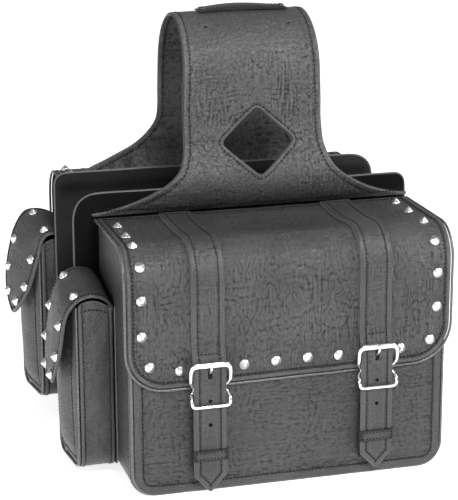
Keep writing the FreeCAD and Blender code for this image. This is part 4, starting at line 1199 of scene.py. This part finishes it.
for tag, sx, zb, tip, sh, kz, hs in STR:
    rt = np.array([(0, 29.6, 3.1), (10, 29.6, 3.1), (16.2, 29.5, 3.05), (19.4, 28.6, 2.75), (21.9, 26.0, 2.2), (23.1, 22.0, 1.8), (23.3, 16, 1.7),
                   (23.0, 10.6, 1.65), (21.6, 6.2, 1.5), (19.4, 3.2, 1.4), (17.9, 1.0, 1.35), (17.8, -1.2, 1.35), (19.3, -3.6, 1.4), (21.4, -6.0, 1.5),
                   (22.3, -9.2, 1.6), (22.5, -13.0, 1.65), (22.1, -16.2, 1.7), (20.8, -18.3, 1.75), (18.6, -19.3, 1.75), (15.5, -19.5, 1.75), (8.0, -19.5, 1.75),
                   (0, -19.5, 1.75)])
    lf = rt[1:-1][::-1].copy(); lf[:, 0] *= -1
    loop = catmull(np.vstack([rt, lf]), 5, closed=True)
    loop = resample(loop, 1.2, True)
    yb = np.interp(loop[:, 1], [-20, -12.0, -5.2, 3.0, 12.0, 33], [-238.5, -238.3, -229.4, -229.2, -236.0, -238.1])
    yb = smooth_closed(yb[:, None], 3)[:, 0]
    path = xyz(sx + loop[:, 0], yb, zb + loop[:, 1])
    # (n, b) section: n points away from the middle of the frame
    away = np.stack([loop[:, 0], 0 * loop[:, 0], loop[:, 1] - np.where(loop[:, 1] > 0, 12.0, -8.0)], 1)
    t_ = (np.roll(path, -1, 0) - np.roll(path, 1, 0)); t_ /= np.linalg.norm(t_, axis=1, keepdims=True)
    nn = np.cross(t_, np.array([0, -1.0, 0]))
    base = superellipse(1.0, 1.0, 20, 3.6)
    sec = np.stack([np.stack([base[:, 0] * w, base[:, 1] * 1.55], 1) for w in loop[:, 2]])
    fr = sweep(path, sec, closed=True, up=nn)
    bar = sweep(xyz(sx + np.linspace(-18.4, 18.4, 14), np.full(14, -228.45), np.full(14, zb)), circle(1.8, 14), up=(0, 0, 1))
    fr.join(bar)
    pp = catmull([(-229.9, zb + 2.0), (-229.1, zb + 8.0), (-229.7, zb + 13.0), (-233.2, zb + 17.4), (-237.2, zb + 21.4), (-240.6, zb + 25.8),
                  (-241.5, zb + 29.8), (-241.2, zb + 33.4)], 6)
    hw = np.interp(np.linspace(0, 1, len(pp)), [0, 0.15, 0.8, 0.94, 1], [1.5, 1.75, 1.6, 1.35, 0.55])
    sec = np.stack([np.stack([superellipse(w, 1.25 if i < len(pp) - 3 else 1.25 - 0.25 * (i - len(pp) + 4), 14, 2.6)[:, 0],
                              superellipse(w, 1.25 if i < len(pp) - 3 else 1.25 - 0.2 * (i - len(pp) + 4), 14, 2.6)[:, 1]], 1) for i, w in enumerate(hw)])
    pr = sweep(xyz(np.full(len(pp), sx), pp[:, 0], pp[:, 1]), sec, up=(1, 0, 0))
    ring = resample(arc(-228.45, zb, 2.45, 0, 360, 30)[:-1], 0.8, True)
    pr.join(sweep(xyz(np.full(len(ring), sx), ring[:, 0], ring[:, 1]), superellipse(2.9, 0.6, 14, 3), closed=True, up=(1, 0, 0)))
    v1, f1, m1 = fr.get(); v2, f2, m2 = pr.get()
    both("buckle_" + tag, Geo().add(v1, f1).add(v2, f2), [M["chrome"]], "buckle_" + tag, ["buckle_frame_" + tag, "buckle_prong_" + tag],
         sharp=50)

# ================================================================== pocket flap
def run(pts, crest, hang, up):
    """A flap's run in (x, z): arc length counted from its crest, seam part scaled to one length."""
    p = smooth_closed(resample(catmull(pts, 8), 0.8), 6, closed=False)
    s_ = np.concatenate([[0], np.cumsum(np.linalg.norm(np.diff(p, axis=0), axis=1))])
    c = s_[int(np.argmin(np.abs(p[:, 0] - crest) + 10.0 * (p[:, 1] < p[:, 1].max() - 6)))]
    w = np.where(s_ < c, hang + up * (c - s_) / c, hang - (s_ - c))
    return w[::-1], p[::-1]


HANG, UP = 136.0, 36.0
flap_runs = {
    False: ([(-190.6, 209), (-193, 221), (-197, 229.5), (-204, 234.5), (-214, 236.8), (-223, 236.5), (-234, 232.4), (-243.8, 222.6), (-250.3, 207),
             (-254, 191), (-256.8, 173), (-259, 154), (-261.0, 129), (-262.0, 105), (-262.5, 80)],
            [(-190.6, 206), (-194, 213), (-200, 219.4), (-208, 223.4), (-217, 225.0), (-223, 224.4), (-231, 221.8), (-238.4, 217), (-245.6, 209.5),
             (-250.4, 200), (-253.2, 188), (-255.4, 174), (-258.0, 156), (-260.2, 138), (-261.6, 115), (-262.0, 92), (-262.0, 70)], -216.0, -216.0),
    True: ([(-190.6, 210), (-193, 219), (-199, 225.5), (-209, 229.5), (-219, 230.6), (-227, 229.2), (-234, 223.0), (-237.9, 214.6), (-241.0, 203.5),
            (-245.7, 187.6), (-250.4, 170), (-255.0, 152), (-258.5, 134), (-261, 115), (-262, 90)],
           [(-190.6, 212), (-194, 224), (-201, 232), (-211, 238.5), (-222, 242.4), (-233, 243.2), (-243, 240.4), (-253, 229.5), (-260.0, 216),
            (-265.0, 198), (-269.5, 182), (-272.5, 165), (-274.0, 148.5), (-274.0, 130), (-273.5, 105)], -220.0, -226.0)}
flap_skins, flap_threads, flap_stud_sets = [], [], []
for far in (False, True):
    pa, pb_, ca, cb = flap_runs[far]
    wa, ra = run(pa, ca, HANG, UP)
    wb, rb = run(pb_, cb, HANG, UP)

    def fl_p(u, v, wa=wa, ra=ra, wb=wb, rb=rb, far=far):
        """Flap over the end pocket; u is measured from its middle, v from its tip upwards."""
        u, v = np.broadcast_arrays(np.asarray(u, float), np.asarray(v, float))
        t = np.clip((u + 41.5) / 83.0, -0.05, 1.05)
        x = (1 - t) * np.interp(v, wa, ra[:, 0]) + t * np.interp(v, wb, rb[:, 0])
        z = (1 - t) * np.interp(v, wa, ra[:, 1]) + t * np.interp(v, wb, rb[:, 1])
        hang = ss(HANG, HANG - 45.0, v)
        crown = 1.6 * (1 - (u / 41.5) ** 2) * ss(HANG + UP, HANG + 20, v)
        curl = (2.4 * hang + 0.2) * (np.abs(u) / 41.5) ** 2.4 * (1 - hang * 0.2)
        wave = 0.9 * gn(u / 26.0 + 3.3 + far, v / 34.0, 141) * hang
        return xyz(x + (curl - crown) * hang + wave, -(u - PM), z + crown * (1 - hang))

    def at_z(z, wa=wa, ra=ra, wb=wb, rb=rb):
        """v at which the flap's middle hangs at height z."""
        w = np.arange(0.0, HANG - 6.0, 0.5)
        zz = 0.5 * (np.interp(w, wa, ra[:, 1]) + np.interp(w, wb, rb[:, 1]))
        return float(np.interp(z, zz, w))

    zr = (226.0, 192.6, 156.0, 128.5, 105.0) if not far else (236.0, 202.5, 167.5, 141.5, 119.5)
    r1_, r2_, r3_, r4_, tb = [at_z(z) for z in zr]
    half = [(41.4, r2_ + 4), (40.4, 0.5 * (r2_ + r3_)), (38.0, r3_ + 2), (33.5, r3_ - 11), (26.5, r4_ + 1.5), (18.0, r4_ - 9.5), (9.0, tb + 4.6)]
    fo = np.vstack([catmull([(-41.5, r1_)] + [(-a, b) for a, b in half] + [(0.0, tb)] + half[::-1] + [(41.5, r1_)], 6),
                    [[41.5, HANG + UP - 1.0], [-41.5, HANG + UP - 1.0]]])
    fo = resample(fo, 1.4, True)
    fl_s = lay(fl_p)

    def fl_h(u, v, d, sd=151 + 3 * far):
        w = ss(0.8, 3.0, d)
        return (0.6 * np.sin(np.pi * np.clip(d / 5.0, 0, 1)) * (d < 5.0) + groove(d, 5.0, 0.36, 0.9) + 0.5 * ss(5, 12, d)
                + w * leather(u, v, sd, 1.35, 0.85, 0.45, 0.35))

    flap_skins.append(sheet(fo, fl_s, fl_h, 2.8, 1.3, extra=around(fo, (4.1, 5.0, 5.9)), rim_bulge=0.5))
    flap_threads.append(row(fl_s, fl_h, open_line(fo, 5.0, HANG + UP - 4, 1.0), 5.0))
    fst = Geo()
    for a, r_ in ((30.0, r1_), (30.0, r2_), (30.0, r3_), (15.5, r4_)):
        for dy in (-a + 0.8, a - (6.0 if far else 0.8) * (a / 30.0)):
            P, N = fl_s(np.array([float(dy)]), np.array([float(r_)]))
            fst.add(*placed(STUD, P[0] + N[0] * 0.6, N[0]))
    flap_stud_sets.append(fst)
rise_only = lambda v, far: v + np.array([0.0, 0.0, 13.0 if far else 0.0])
BEND = ("bag", (-193.0, 109.0, 238.5), (-217.0, 109.0, 238.5))
both("flap_skin", flap_skins, [M["side"], M["edge_dark"], M["inner"]], "flap_assembly", ["pocket_flap"], warp=rise_only, bend=BEND)
both("flap_thread", flap_threads, [M["thread"]], "flap_assembly", warp=rise_only, bend=BEND)
both("flap_studs", flap_stud_sets, [M["stud"]], "flap_assembly", ["pocket_flap_studs"], sharp=30, warp=rise_only)
both("bag_thread", T_BAG, [M["thread"]], "bag")
both("pocket_thread", T_PK, [M["thread"]], "bag", warp=pk_warp)

# ================================================================ backer boards
M["board_in"] = leather_mat("board inner face", base=0.011, rough=0.55, cell=2.4, bump=0.3, spec=0.15)
for s, side, rl, rr in (("near_", -1, 33.0, 13.0), ("far_", 1, 14.0, 33.0)):
    bo = fillet([(-217.8, 14.2), (195.8, 14.2), (195.8, 320.8), (-217.8, 320.8)], [20, 20, rr, rl], 12)
    bo = resample(bo, 2.2, True)

    def bd_p(u, v, side=side):
        top = ss(288.0, 322.0, v)
        y = -61.7 + 2.6 * top ** 2 + 0.7 * gn(u / 52.0, 0.4 * side, 161) * top + 0.25 * gn(u / 60.0, v / 60.0, 162)
        return xyz(u, y, v + 0.8 * gn(u / 58.0, 5.5 + side, 163) * top)

    bs = lay(bd_p)

    def bd_h(u, v, d):
        return 0.35 * np.sin(np.pi * np.clip(d / 7.0, 0, 1)) * (d < 7.0) + groove(d, 7.0, 0.3, 1.0) + 0.1 * gn(u / 7.0, v / 7.0, 164)

    g = sheet(bo, bs, bd_h, 4.0, 3.2, rings=(0, 0.5, 1.1, 2.0, 3.2), roll=1.6, rim_bulge=0.9, inner_step=5.0)
    o = make(s + "board", g, [M["board"], M["board_edge"], M["board_in"]], side)
    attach(o, s + "bag"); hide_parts(s + "backer_board")
    po = resample(fillet([(-179, 23), (179, 23), (179, 283), (-179, 283)], 14, 8), 3.0, True)

    def pad_h(u, v, d):
        return 1.5 * ss(0, 14, d) + 0.25 * leather(u, v, 171, 1, 1, 0.5)

    g = sheet(po, lay(lambda u, v: xyz(u, -64.9 + 0 * u * v, v)), pad_h, 3.0, 5.0, roll=1.4, rim_bulge=0.8)
    o = make(s + "board_pad", g, [M["side"], M["side"], M["side"]], side)
    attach(o, s + "bag")

# ========================================================================= yoke
YV0 = 456.0 - 295.3
YQ = math.pi * 66.0
YL = 2 * YV0 + YQ
# how far the leather stands out from the arch's side where it rolls down onto the lid
BZ = np.array([295.3, 297.0, 299.0, 302.0, 306.0, 311.0, 317.0, 324.0, 332.0, 341.0, 352.0, 364.0, 378.0, 400.0])
BO = np.array([0.4, 2.0, 4.2, 7.0, 10.3, 13.6, 16.6, 19.0, 20.4, 20.2, 16.6, 10.6, 4.6, 0.5])


_bz = np.arange(285.0, 430.0, 0.5)
_bo = np.interp(_bz, BZ, BO, left=BO[0], right=0.0)
_k = np.exp(-0.5 * (np.arange(-24, 25) * 0.5 / 4.0) ** 2)
_bs = np.convolve(np.pad(_bo, 24, mode="edge"), _k / _k.sum(), "valid")
_bw = ss(300.0, 315.0, _bz)
_bo = _bo * (1 - _bw) + _bs * _bw


def belly(x, z):
    b = np.interp(z, _bz, _bo)
    w = 0.30 + 0.70 * (1 - ss(95.0, 178.0, np.abs(x - 3.0)))
    w = w * (1.0 + 0.10 * gn(x / 42.0, 2.2, 181))
    return b * w


def yk_at(u, v, off=0.0):
    u, v = np.broadcast_arrays(np.asarray(u, float), np.asarray(v, float))
    w = np.minimum(v, YL - v)                      # length from the nearer lower edge
    sgn = np.where(v <= YL / 2, -1.0, 1.0)
    a = np.clip((w - YV0) / 66.0, 0, math.pi / 2)
    z = np.where(w < YV0, 295.3 + w, 456.0 + (66.0 + off) * np.sin(a))
    y = (66.0 + off) * np.cos(a)
    t = 0.55 * gn(u / 46.0, v / 52.0, 182) * ss(0, 30, w) * ss(300, 360, z)
    # light folds that fan out from the arch's narrow part into the flares
    fan = 0.9 * np.sin(np.abs(u) / 9.0 + 1.4 * gn(u / 30, v / 40, 183)) * ss(70, 120, np.abs(u)) * ss(300, 320, z) * ss(365, 330, z)
    return xyz(u, sgn * (y + belly(u, z) * np.where(sgn < 0, 1.0, 0.55) + (t + fan) * (a < 0.02)), z + t * np.sin(a))


def yk_outline(grow, low):
    fl = catmull([(84.0, 400 - 295.3), (84.6, 384 - 295.3), (86.0, 368 - 295.3), (93.0, 348 - 295.3), (106.0, 333.5 - 295.3), (122.0, 322.5 - 295.3), (142.0, 311.5 - 295.3),
                  (162.0, 303.8 - 295.3), (180.0, 299.6 - 295.3), (196.5, 297.6 - 295.3)], 6)
    top = np.array([[82.5, 470 - 295.3], [81.0, YL / 2 - 12]])
    right = np.vstack([top[::-1], [[84.0, 420 - 295.3]], fl])      # from the crown down the near side
    right = right + np.array([[grow, 0.0]])
    near_r = right[::-1]                                           # going up on the right
    far_r = np.stack([right[:, 0], YL - right[:, 1]], 1)           # and on over to the far side
    rt = np.vstack([[[197.0 + grow, low]], near_r, far_r, [[197.0 + grow, YL - low]]])
    # the far skirt is cut higher towards its left end
    fz = catmull([(84.0, 404.0), (84.6, 391.0), (86.6, 381.0), (92.6, 370.5), (103.0, 358.5), (117.0, 347.6), (134.0, 339.6), (150.0, 333.0), (166.0, 326.0),
                  (181.0, 317.5), (192.0, 308.0), (196.5, 302.0)], 6) - np.array([[0.0, 295.3]])
    left = np.vstack([top[::-1], [[84.0, 420 - 295.3]], fz]) + np.array([[grow, 0.0]])
    far_l = np.stack([left[:, 0], YL - left[:, 1]], 1)
    lt = np.vstack([[[197.0 + grow, low]], near_r, far_l, [[197.0 + grow, YL - low]]])[::-1].copy(); lt[:, 0] *= -1
    o = np.vstack([rt, lt])
    o = resample(o, 1.9, True)
    return smooth_closed(o, 1)


def diamond(cx, cv, a, b, r):
    p = fillet([(cx + a, cv), (cx, cv + b), (cx - a, cv), (cx, cv - b)], r, 9)
    return resample(p, 1.5, True)[::-1]


dv = 373.0 - 295.3
YK_LACE = [(x, YV0 + 66.0 * math.pi / 2 - s * 66.0 * math.radians(36.0)) for x in (-50.0, 52.5) for s in (1, -1)]
yk_out = yk_outline(0.0, 0.0)
yk_holes = [diamond(4.8, dv + 2.4, 46.8, 41.3, 8)]
yk_lace = [arc(x, v, 2.2, 0, -360, 17)[:-1] for x, v in YK_LACE]
yk_s = lay(yk_at)


def yk_h(u, v, d):
    u, v, d = np.broadcast_arrays(np.asarray(u, float), np.asarray(v, float), np.asarray(d, float))
    lo_ = np.minimum(v, YL - v)
    w = ss(1.0, 5.0, d)
    dh = dist_poly(np.stack([u.ravel(), v.ravel()], 1), yk_holes[0]).reshape(u.shape)
    e = (0.35 * np.sin(np.pi * np.clip(d / 6.4, 0, 1)) * (d < 6.4) + groove(d, 6.4, 0.3, 1.0) + 0.35 * ss(6.4, 12, d))
    r = 0.08 * np.sin(np.pi * np.clip(dh / 3.8, 0, 1)) * (dh < 3.8) + groove(dh, 3.8, 0.34, 0.9) + 0.35 * ss(3.8, 9, dh)
    e = np.where(dh < d + 0.3, r, e) * ss(5.0, 17.0, lo_)
    # long creases that run down beside the cut-out and in from its other side
    k1 = gn((u + 3.0 * gn(u / 40, lo_ / 40, 195)) / 4.4, lo_ / 52.0, 193)
    k2 = gn(u / 46.0, (lo_ + 3.0 * gn(u / 36, lo_ / 40, 197)) / 4.6, 196)
    b1 = np.exp(-(k1 / 0.22) ** 2) * np.exp(-((u - 40 - 0.10 * (140 - lo_)) / 15.0) ** 2) * np.exp(-((lo_ - 132) / 46.0) ** 2)
    b2 = np.exp(-(k2 / 0.22) ** 2) * np.exp(-((u + 56) / 26.0) ** 2) * np.exp(-((lo_ - 150) / 17.0) ** 2)
    smooth = 1 - 0.55 * ss(166.0, 214.0, lo_)
    return e + w * (leather(u, v, 191, 1.0, 1.05, 0.86, 0.75, size=1.15) * smooth - 0.60 * b1 - 0.42 * b2)


def yk_edges(outline, holes, da, db):
    a = np.vstack([inset(outline, q, 1.5) for q in da])
    b = np.vstack([inset(h, q, 1.3) for h in holes for q in db])
    return np.vstack([a, b])


def no_low(p, m=3.0):
    return p[(p[:, 1] > m) & (p[:, 1] < YL - m)]


g_out = sheet(yk_out, yk_s, yk_h, 1.9, 1.5, holes=yk_holes + yk_lace, rings=(0, 0.4, 1.0, 1.8),
              extra=no_low(yk_edges(yk_out, yk_holes, (5.5, 6.4, 7.3), (3.0, 3.8, 4.6))), inner_step=6.0, roll=0.4, rim_bulge=0.35, shaded_holes=len(yk_lace))
lin_out = yk_outline(0.9, 0.6)[::-1] * np.array([[-1.0, 1.0]])
lin_s = lay(lambda u, v: yk_at(u, v, 0.0))


def lining_place(u, v):
    """Lining's own face looks into the arch, so its u runs the other way."""
    P, N = yk_s(-np.asarray(u, float), v)
    return P - N * 3.55, -N


def lin_h(u, v, d):
    e = 0.3 * np.sin(np.pi * np.clip(d / 6.6, 0, 1)) * (d < 6.6) + groove(d, 6.6, 0.4, 1.0)
    return e + ss(1.0, 5.0, d) * leather(u, v, 391, 1.0, 1.05, 0.6, 0.75, size=1.15)


lin_holes = [diamond(-4.8, dv + 2.4, 45.8, 40.3, 7.6)]
g_lin = sheet(lin_out, lining_place, lin_h, 1.5, 2.4,
              holes=lin_holes + [arc(-x, v, 3.6, 0, -360, 17)[:-1] for x, v in YK_LACE],
              rings=(0, 0.4, 1.0), inner_step=6.0, roll=0.4, rim_bulge=0.7, shaded_holes=len(YK_LACE))
vo, fo_, mo = weld(*g_out.get())
vl, fl_, ml = weld(*g_lin.get())
V = np.vstack([vo, vl]); F = np.vstack([fo_, fl_ + len(vo)]); MI = np.concatenate([mo, np.where(ml == 0, 3, ml)])
NRM = vertex_normals(V, F)
REL = relief(V, F)
cen = V[F].mean(1)
ymats = [M["yoke"], M["edge_yoke"], M["inner"], M["yoke_in"]]
parts = {"near_flare": (cen[:, 2] < 400) & (cen[:, 1] < 0), "far_flare": (cen[:, 2] < 400) & (cen[:, 1] > 0), "crown": cen[:, 2] >= 400}
for name, pick in parts.items():
    ids = np.unique(F[pick])
    new = np.full(len(V), -1); new[ids] = np.arange(len(ids))
    o = make("yoke_" + name, (V[ids], new[F[pick]], MI[pick]), ymats, -1, custom=NRM[ids], rel=REL[ids])
    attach(o, "yoke")
    if name == "crown":
        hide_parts("yoke_leather", "yoke_lining")
    else:
        s, g_ = ("near", -1) if name[0] == "n" else ("far", 1)
        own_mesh(o)
        PIECES[s + "_flare"] = o

# seams of the yoke
ty = {"near": Geo(), "far": Geo(), "crown": Geo()}
line = inset(yk_out, 6.4, 1.0)
runs = [(line, 6.4)] + [(inset(h, 3.8, 1.0), 3.8) for h in yk_holes]
for r_, at_ in runs:
    z_ = np.minimum(r_[:, 1], YL - r_[:, 1]) + 295.3
    for key, ok in (("near", (z_ < 400) & (r_[:, 1] < YL / 2) & (r_[:, 1] > 4)), ("far", (z_ < 400) & (r_[:, 1] > YL / 2) & (r_[:, 1] < YL - 4)),
                    ("crown", z_ >= 400)):
        idx = np.where(ok)[0]
        if len(idx) < 8:
            continue
        cuts = np.where(np.diff(idx) > 1)[0]
        for seg in np.split(idx, cuts + 1):
            if len(seg) > 8:
                ty[key].join(row(yk_s, yk_h, r_[seg], at_, pitch=4.6, length=2.9))
lrow = inset(lin_out, 6.6, 1.0)
z_ = np.minimum(lrow[:, 1], YL - lrow[:, 1]) + 295.3
for key, ok in (("near", (z_ < 400) & (lrow[:, 1] < YL / 2) & (lrow[:, 1] > 4)), ("far", (z_ < 400) & (lrow[:, 1] > YL / 2) & (lrow[:, 1] < YL - 4)),
                ("crown", z_ >= 400)):
    idx = np.where(ok)[0]
    for seg in np.split(idx, np.where(np.diff(idx) > 1)[0] + 1):
        if len(seg) > 8:
            ty[key].join(row(lining_place, lin_h, lrow[seg], 6.6, pitch=4.4, length=3.0))
for key, geo in ty.items():
    if geo.n == 0:
        continue
    o = make("yoke_thread_" + key, geo, [M["thread"]], -1)
    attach(o, "yoke")
    if key != "crown":
        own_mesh(o)

# carry handle: two plies, riveted at both ends
HXL = np.linspace(-50.0, 59.5, 90)
hz_ = np.interp(HXL, [-55, -47, -41, -32, -20, -8, 6, 20, 34, 44, 50, 61], [0, 0, 0.0, 1.0, 2.2, 2.8, 2.7, 2.1, 1.0, 0.1, 0, 0])
hz_ = smooth_closed(hz_[:, None], 14, closed=False)[:, 0]
hgeo = Geo()
tw = np.radians(3.5) * np.sin(np.pi * np.clip((HXL + 50) / 100, 0, 1))
zz = np.linspace(-12.3, 12.3, 26)
for lift, thick, cut in ((1.1, 1.1, (0, 90)), (2.9, 0.75, (3, 87))):
    sl = slice(*cut)
    up_ = np.stack([zz, thick * np.sqrt(np.clip(1 - (np.abs(zz) / 12.5) ** 10, 0, 1)) - 0.28 * np.exp(-((np.abs(zz) - 9.6) / 0.7) ** 2)], 1)
    dn_ = np.stack([zz[::-1][::3], np.full(9, -thick)], 1)
    sec = np.vstack([up_, dn_])
    secs = []
    for k_, t_ in zip(np.arange(90)[sl], tw[sl]):
        y_ = sec[:, 0] * (1.0 - 0.03 * math.sin(k_ * 0.3) ** 2); b_ = sec[:, 1]
        secs.append(np.stack([y_ * math.cos(t_) - b_ * math.sin(t_), y_ * math.sin(t_) + b_ * math.cos(t_)], 1))
    sw_ = sweep(xyz(HXL[sl], 0 * HXL[sl], 522.15 + hz_[sl] + lift), np.array(secs)[:, ::-1], up=(0, 1, 0))
    hgeo.join(sw_)
o = make("carry_handle", hgeo, [M["strap"]], -1)
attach(o, "yoke"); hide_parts("handle")
ht = Geo()
for yo in (-9.6, 9.6):
    sl = slice(6, 84)
    ht.join(thread(xyz(HXL[sl], yo + 0 * HXL[sl], 522.15 + hz_[sl] + 2.9 + 0.68), np.broadcast_to([0, 0, 1.0], (78, 3)), pitch=4.3))
o = make("handle_thread", ht, [M["thread"]], -1)
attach(o, "yoke")
hr = Geo()
rv = lathe([(4.2, -0.6), (4.25, 0.25), (4.0, 0.75), (3.2, 1.3), (2.0, 1.7), (0.8, 1.9), (0.02, 1.94)], 22)
for x in (-44.5, 54.0):
    hr.add(*placed(rv, (x, 0, 522.15 + 3.75), (0, 0, 1)))
o = make("handle_rivet_heads", hr, [M["rivet"]], -1)
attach(o, "yoke"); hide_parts("handle_rivets")

# =============================================== moulded clips and pads from the frame
for n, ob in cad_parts.items():
    if ob.hide_render:
        continue
    key = "plastic" if "clip" in n else "hook" if "pad" in n else "edge"
    ob.data.materials.clear()
    ob.data.materials.append(M[key])
    if key == "plastic":
        bv = ob.modifiers.new("soft edges", "BEVEL")
        bv.width = 0.0005; bv.segments = 2; bv.limit_method = "ANGLE"; bv.angle_limit = math.radians(50)
        bv.harden_normals = False

# ==================================================== floor, light and camera
bpy.ops.mesh.primitive_plane_add(size=24, location=(0, 3, 0))
floor = bpy.context.object
floor.name = "floor"
fm, nt, b = _mat("pale floor")
b.inputs["Base Color"].default_value = (0.93, 0.93, 0.93, 1)
b.inputs["Roughness"].default_value = 0.6
b.inputs["Specular IOR Level"].default_value = 0.2
b.inputs["Emission Color"].default_value = (1, 1, 1, 1)
b.inputs["Emission Strength"].default_value = 0.74
floor.data.materials.append(fm)

w = bpy.data.worlds.new("studio")
bpy.context.scene.world = w
w.use_nodes = True
nt = w.node_tree
bg = nt.nodes["Background"]
tc = nt.nodes.new("ShaderNodeTexCoord")
sx_ = nt.nodes.new("ShaderNodeSeparateXYZ")
nt.links.new(tc.outputs["Generated"], sx_.inputs[0])
rp = nt.nodes.new("ShaderNodeValToRGB")
rp.color_ramp.elements[0].position = 0.0; rp.color_ramp.elements[0].color = (0.30, 0.30, 0.30, 1)
rp.color_ramp.elements[1].position = 1.0; rp.color_ramp.elements[1].color = (0.30, 0.30, 0.30, 1)
e = rp.color_ramp.elements.new(0.45); e.color = (0.36, 0.36, 0.36, 1)
nt.links.new(sx_.outputs["Z"], rp.inputs["Fac"])
nt.links.new(rp.outputs["Color"], bg.inputs["Color"])
bg.inputs["Strength"].default_value = 1.0


def lamp(name, loc, at, power, w_, h_):
    d = bpy.data.lights.new(name, "AREA")
    d.shape = "RECTANGLE"; d.size = w_; d.size_y = h_; d.energy = power
    o = bpy.data.objects.new(name, d)
    bpy.context.scene.collection.objects.link(o)
    o.location = loc
    o.rotation_mode = "QUATERNION"
    o.rotation_quaternion = (Vector(at) - Vector(loc)).to_track_quat("-Z", "Y")
    return o


lamp("front softbox", (0.15, -2.35, 2.25), (0, -0.1, 0.28), 98, 0.9, 0.8)
lamp("side softbox", (-2.6, -1.2, 0.9), (0, 0, 0.2), 25, 0.7, 1.2)
lamp("right softbox", (2.2, -0.4, 1.7), (0, -0.1, 0.3), 34, 0.7, 1.0)

cam = bpy.data.cameras.new("camera")
cam.sensor_width = 36.0
cam.lens = 133.7
cam.shift_y = 0.002
cam.clip_start, cam.clip_end = 0.05, 60.0
co = bpy.data.objects.new("camera", cam)
bpy.context.scene.collection.objects.link(co)
co.location = (-0.58166, -2.14248, 0.84545)
look = Vector((-0.00934, -0.10912, 0.25328)) - Vector(co.location)
co.rotation_mode = "QUATERNION"
co.rotation_quaternion = look.to_track_quat("-Z", "Y") @ Matrix.Rotation(math.radians(-0.22), 4, "Z").to_quaternion()
bpy.context.scene.camera = co
bpy.context.scene.view_settings.view_transform = "Standard"
bpy.context.scene.view_settings.look = "None"
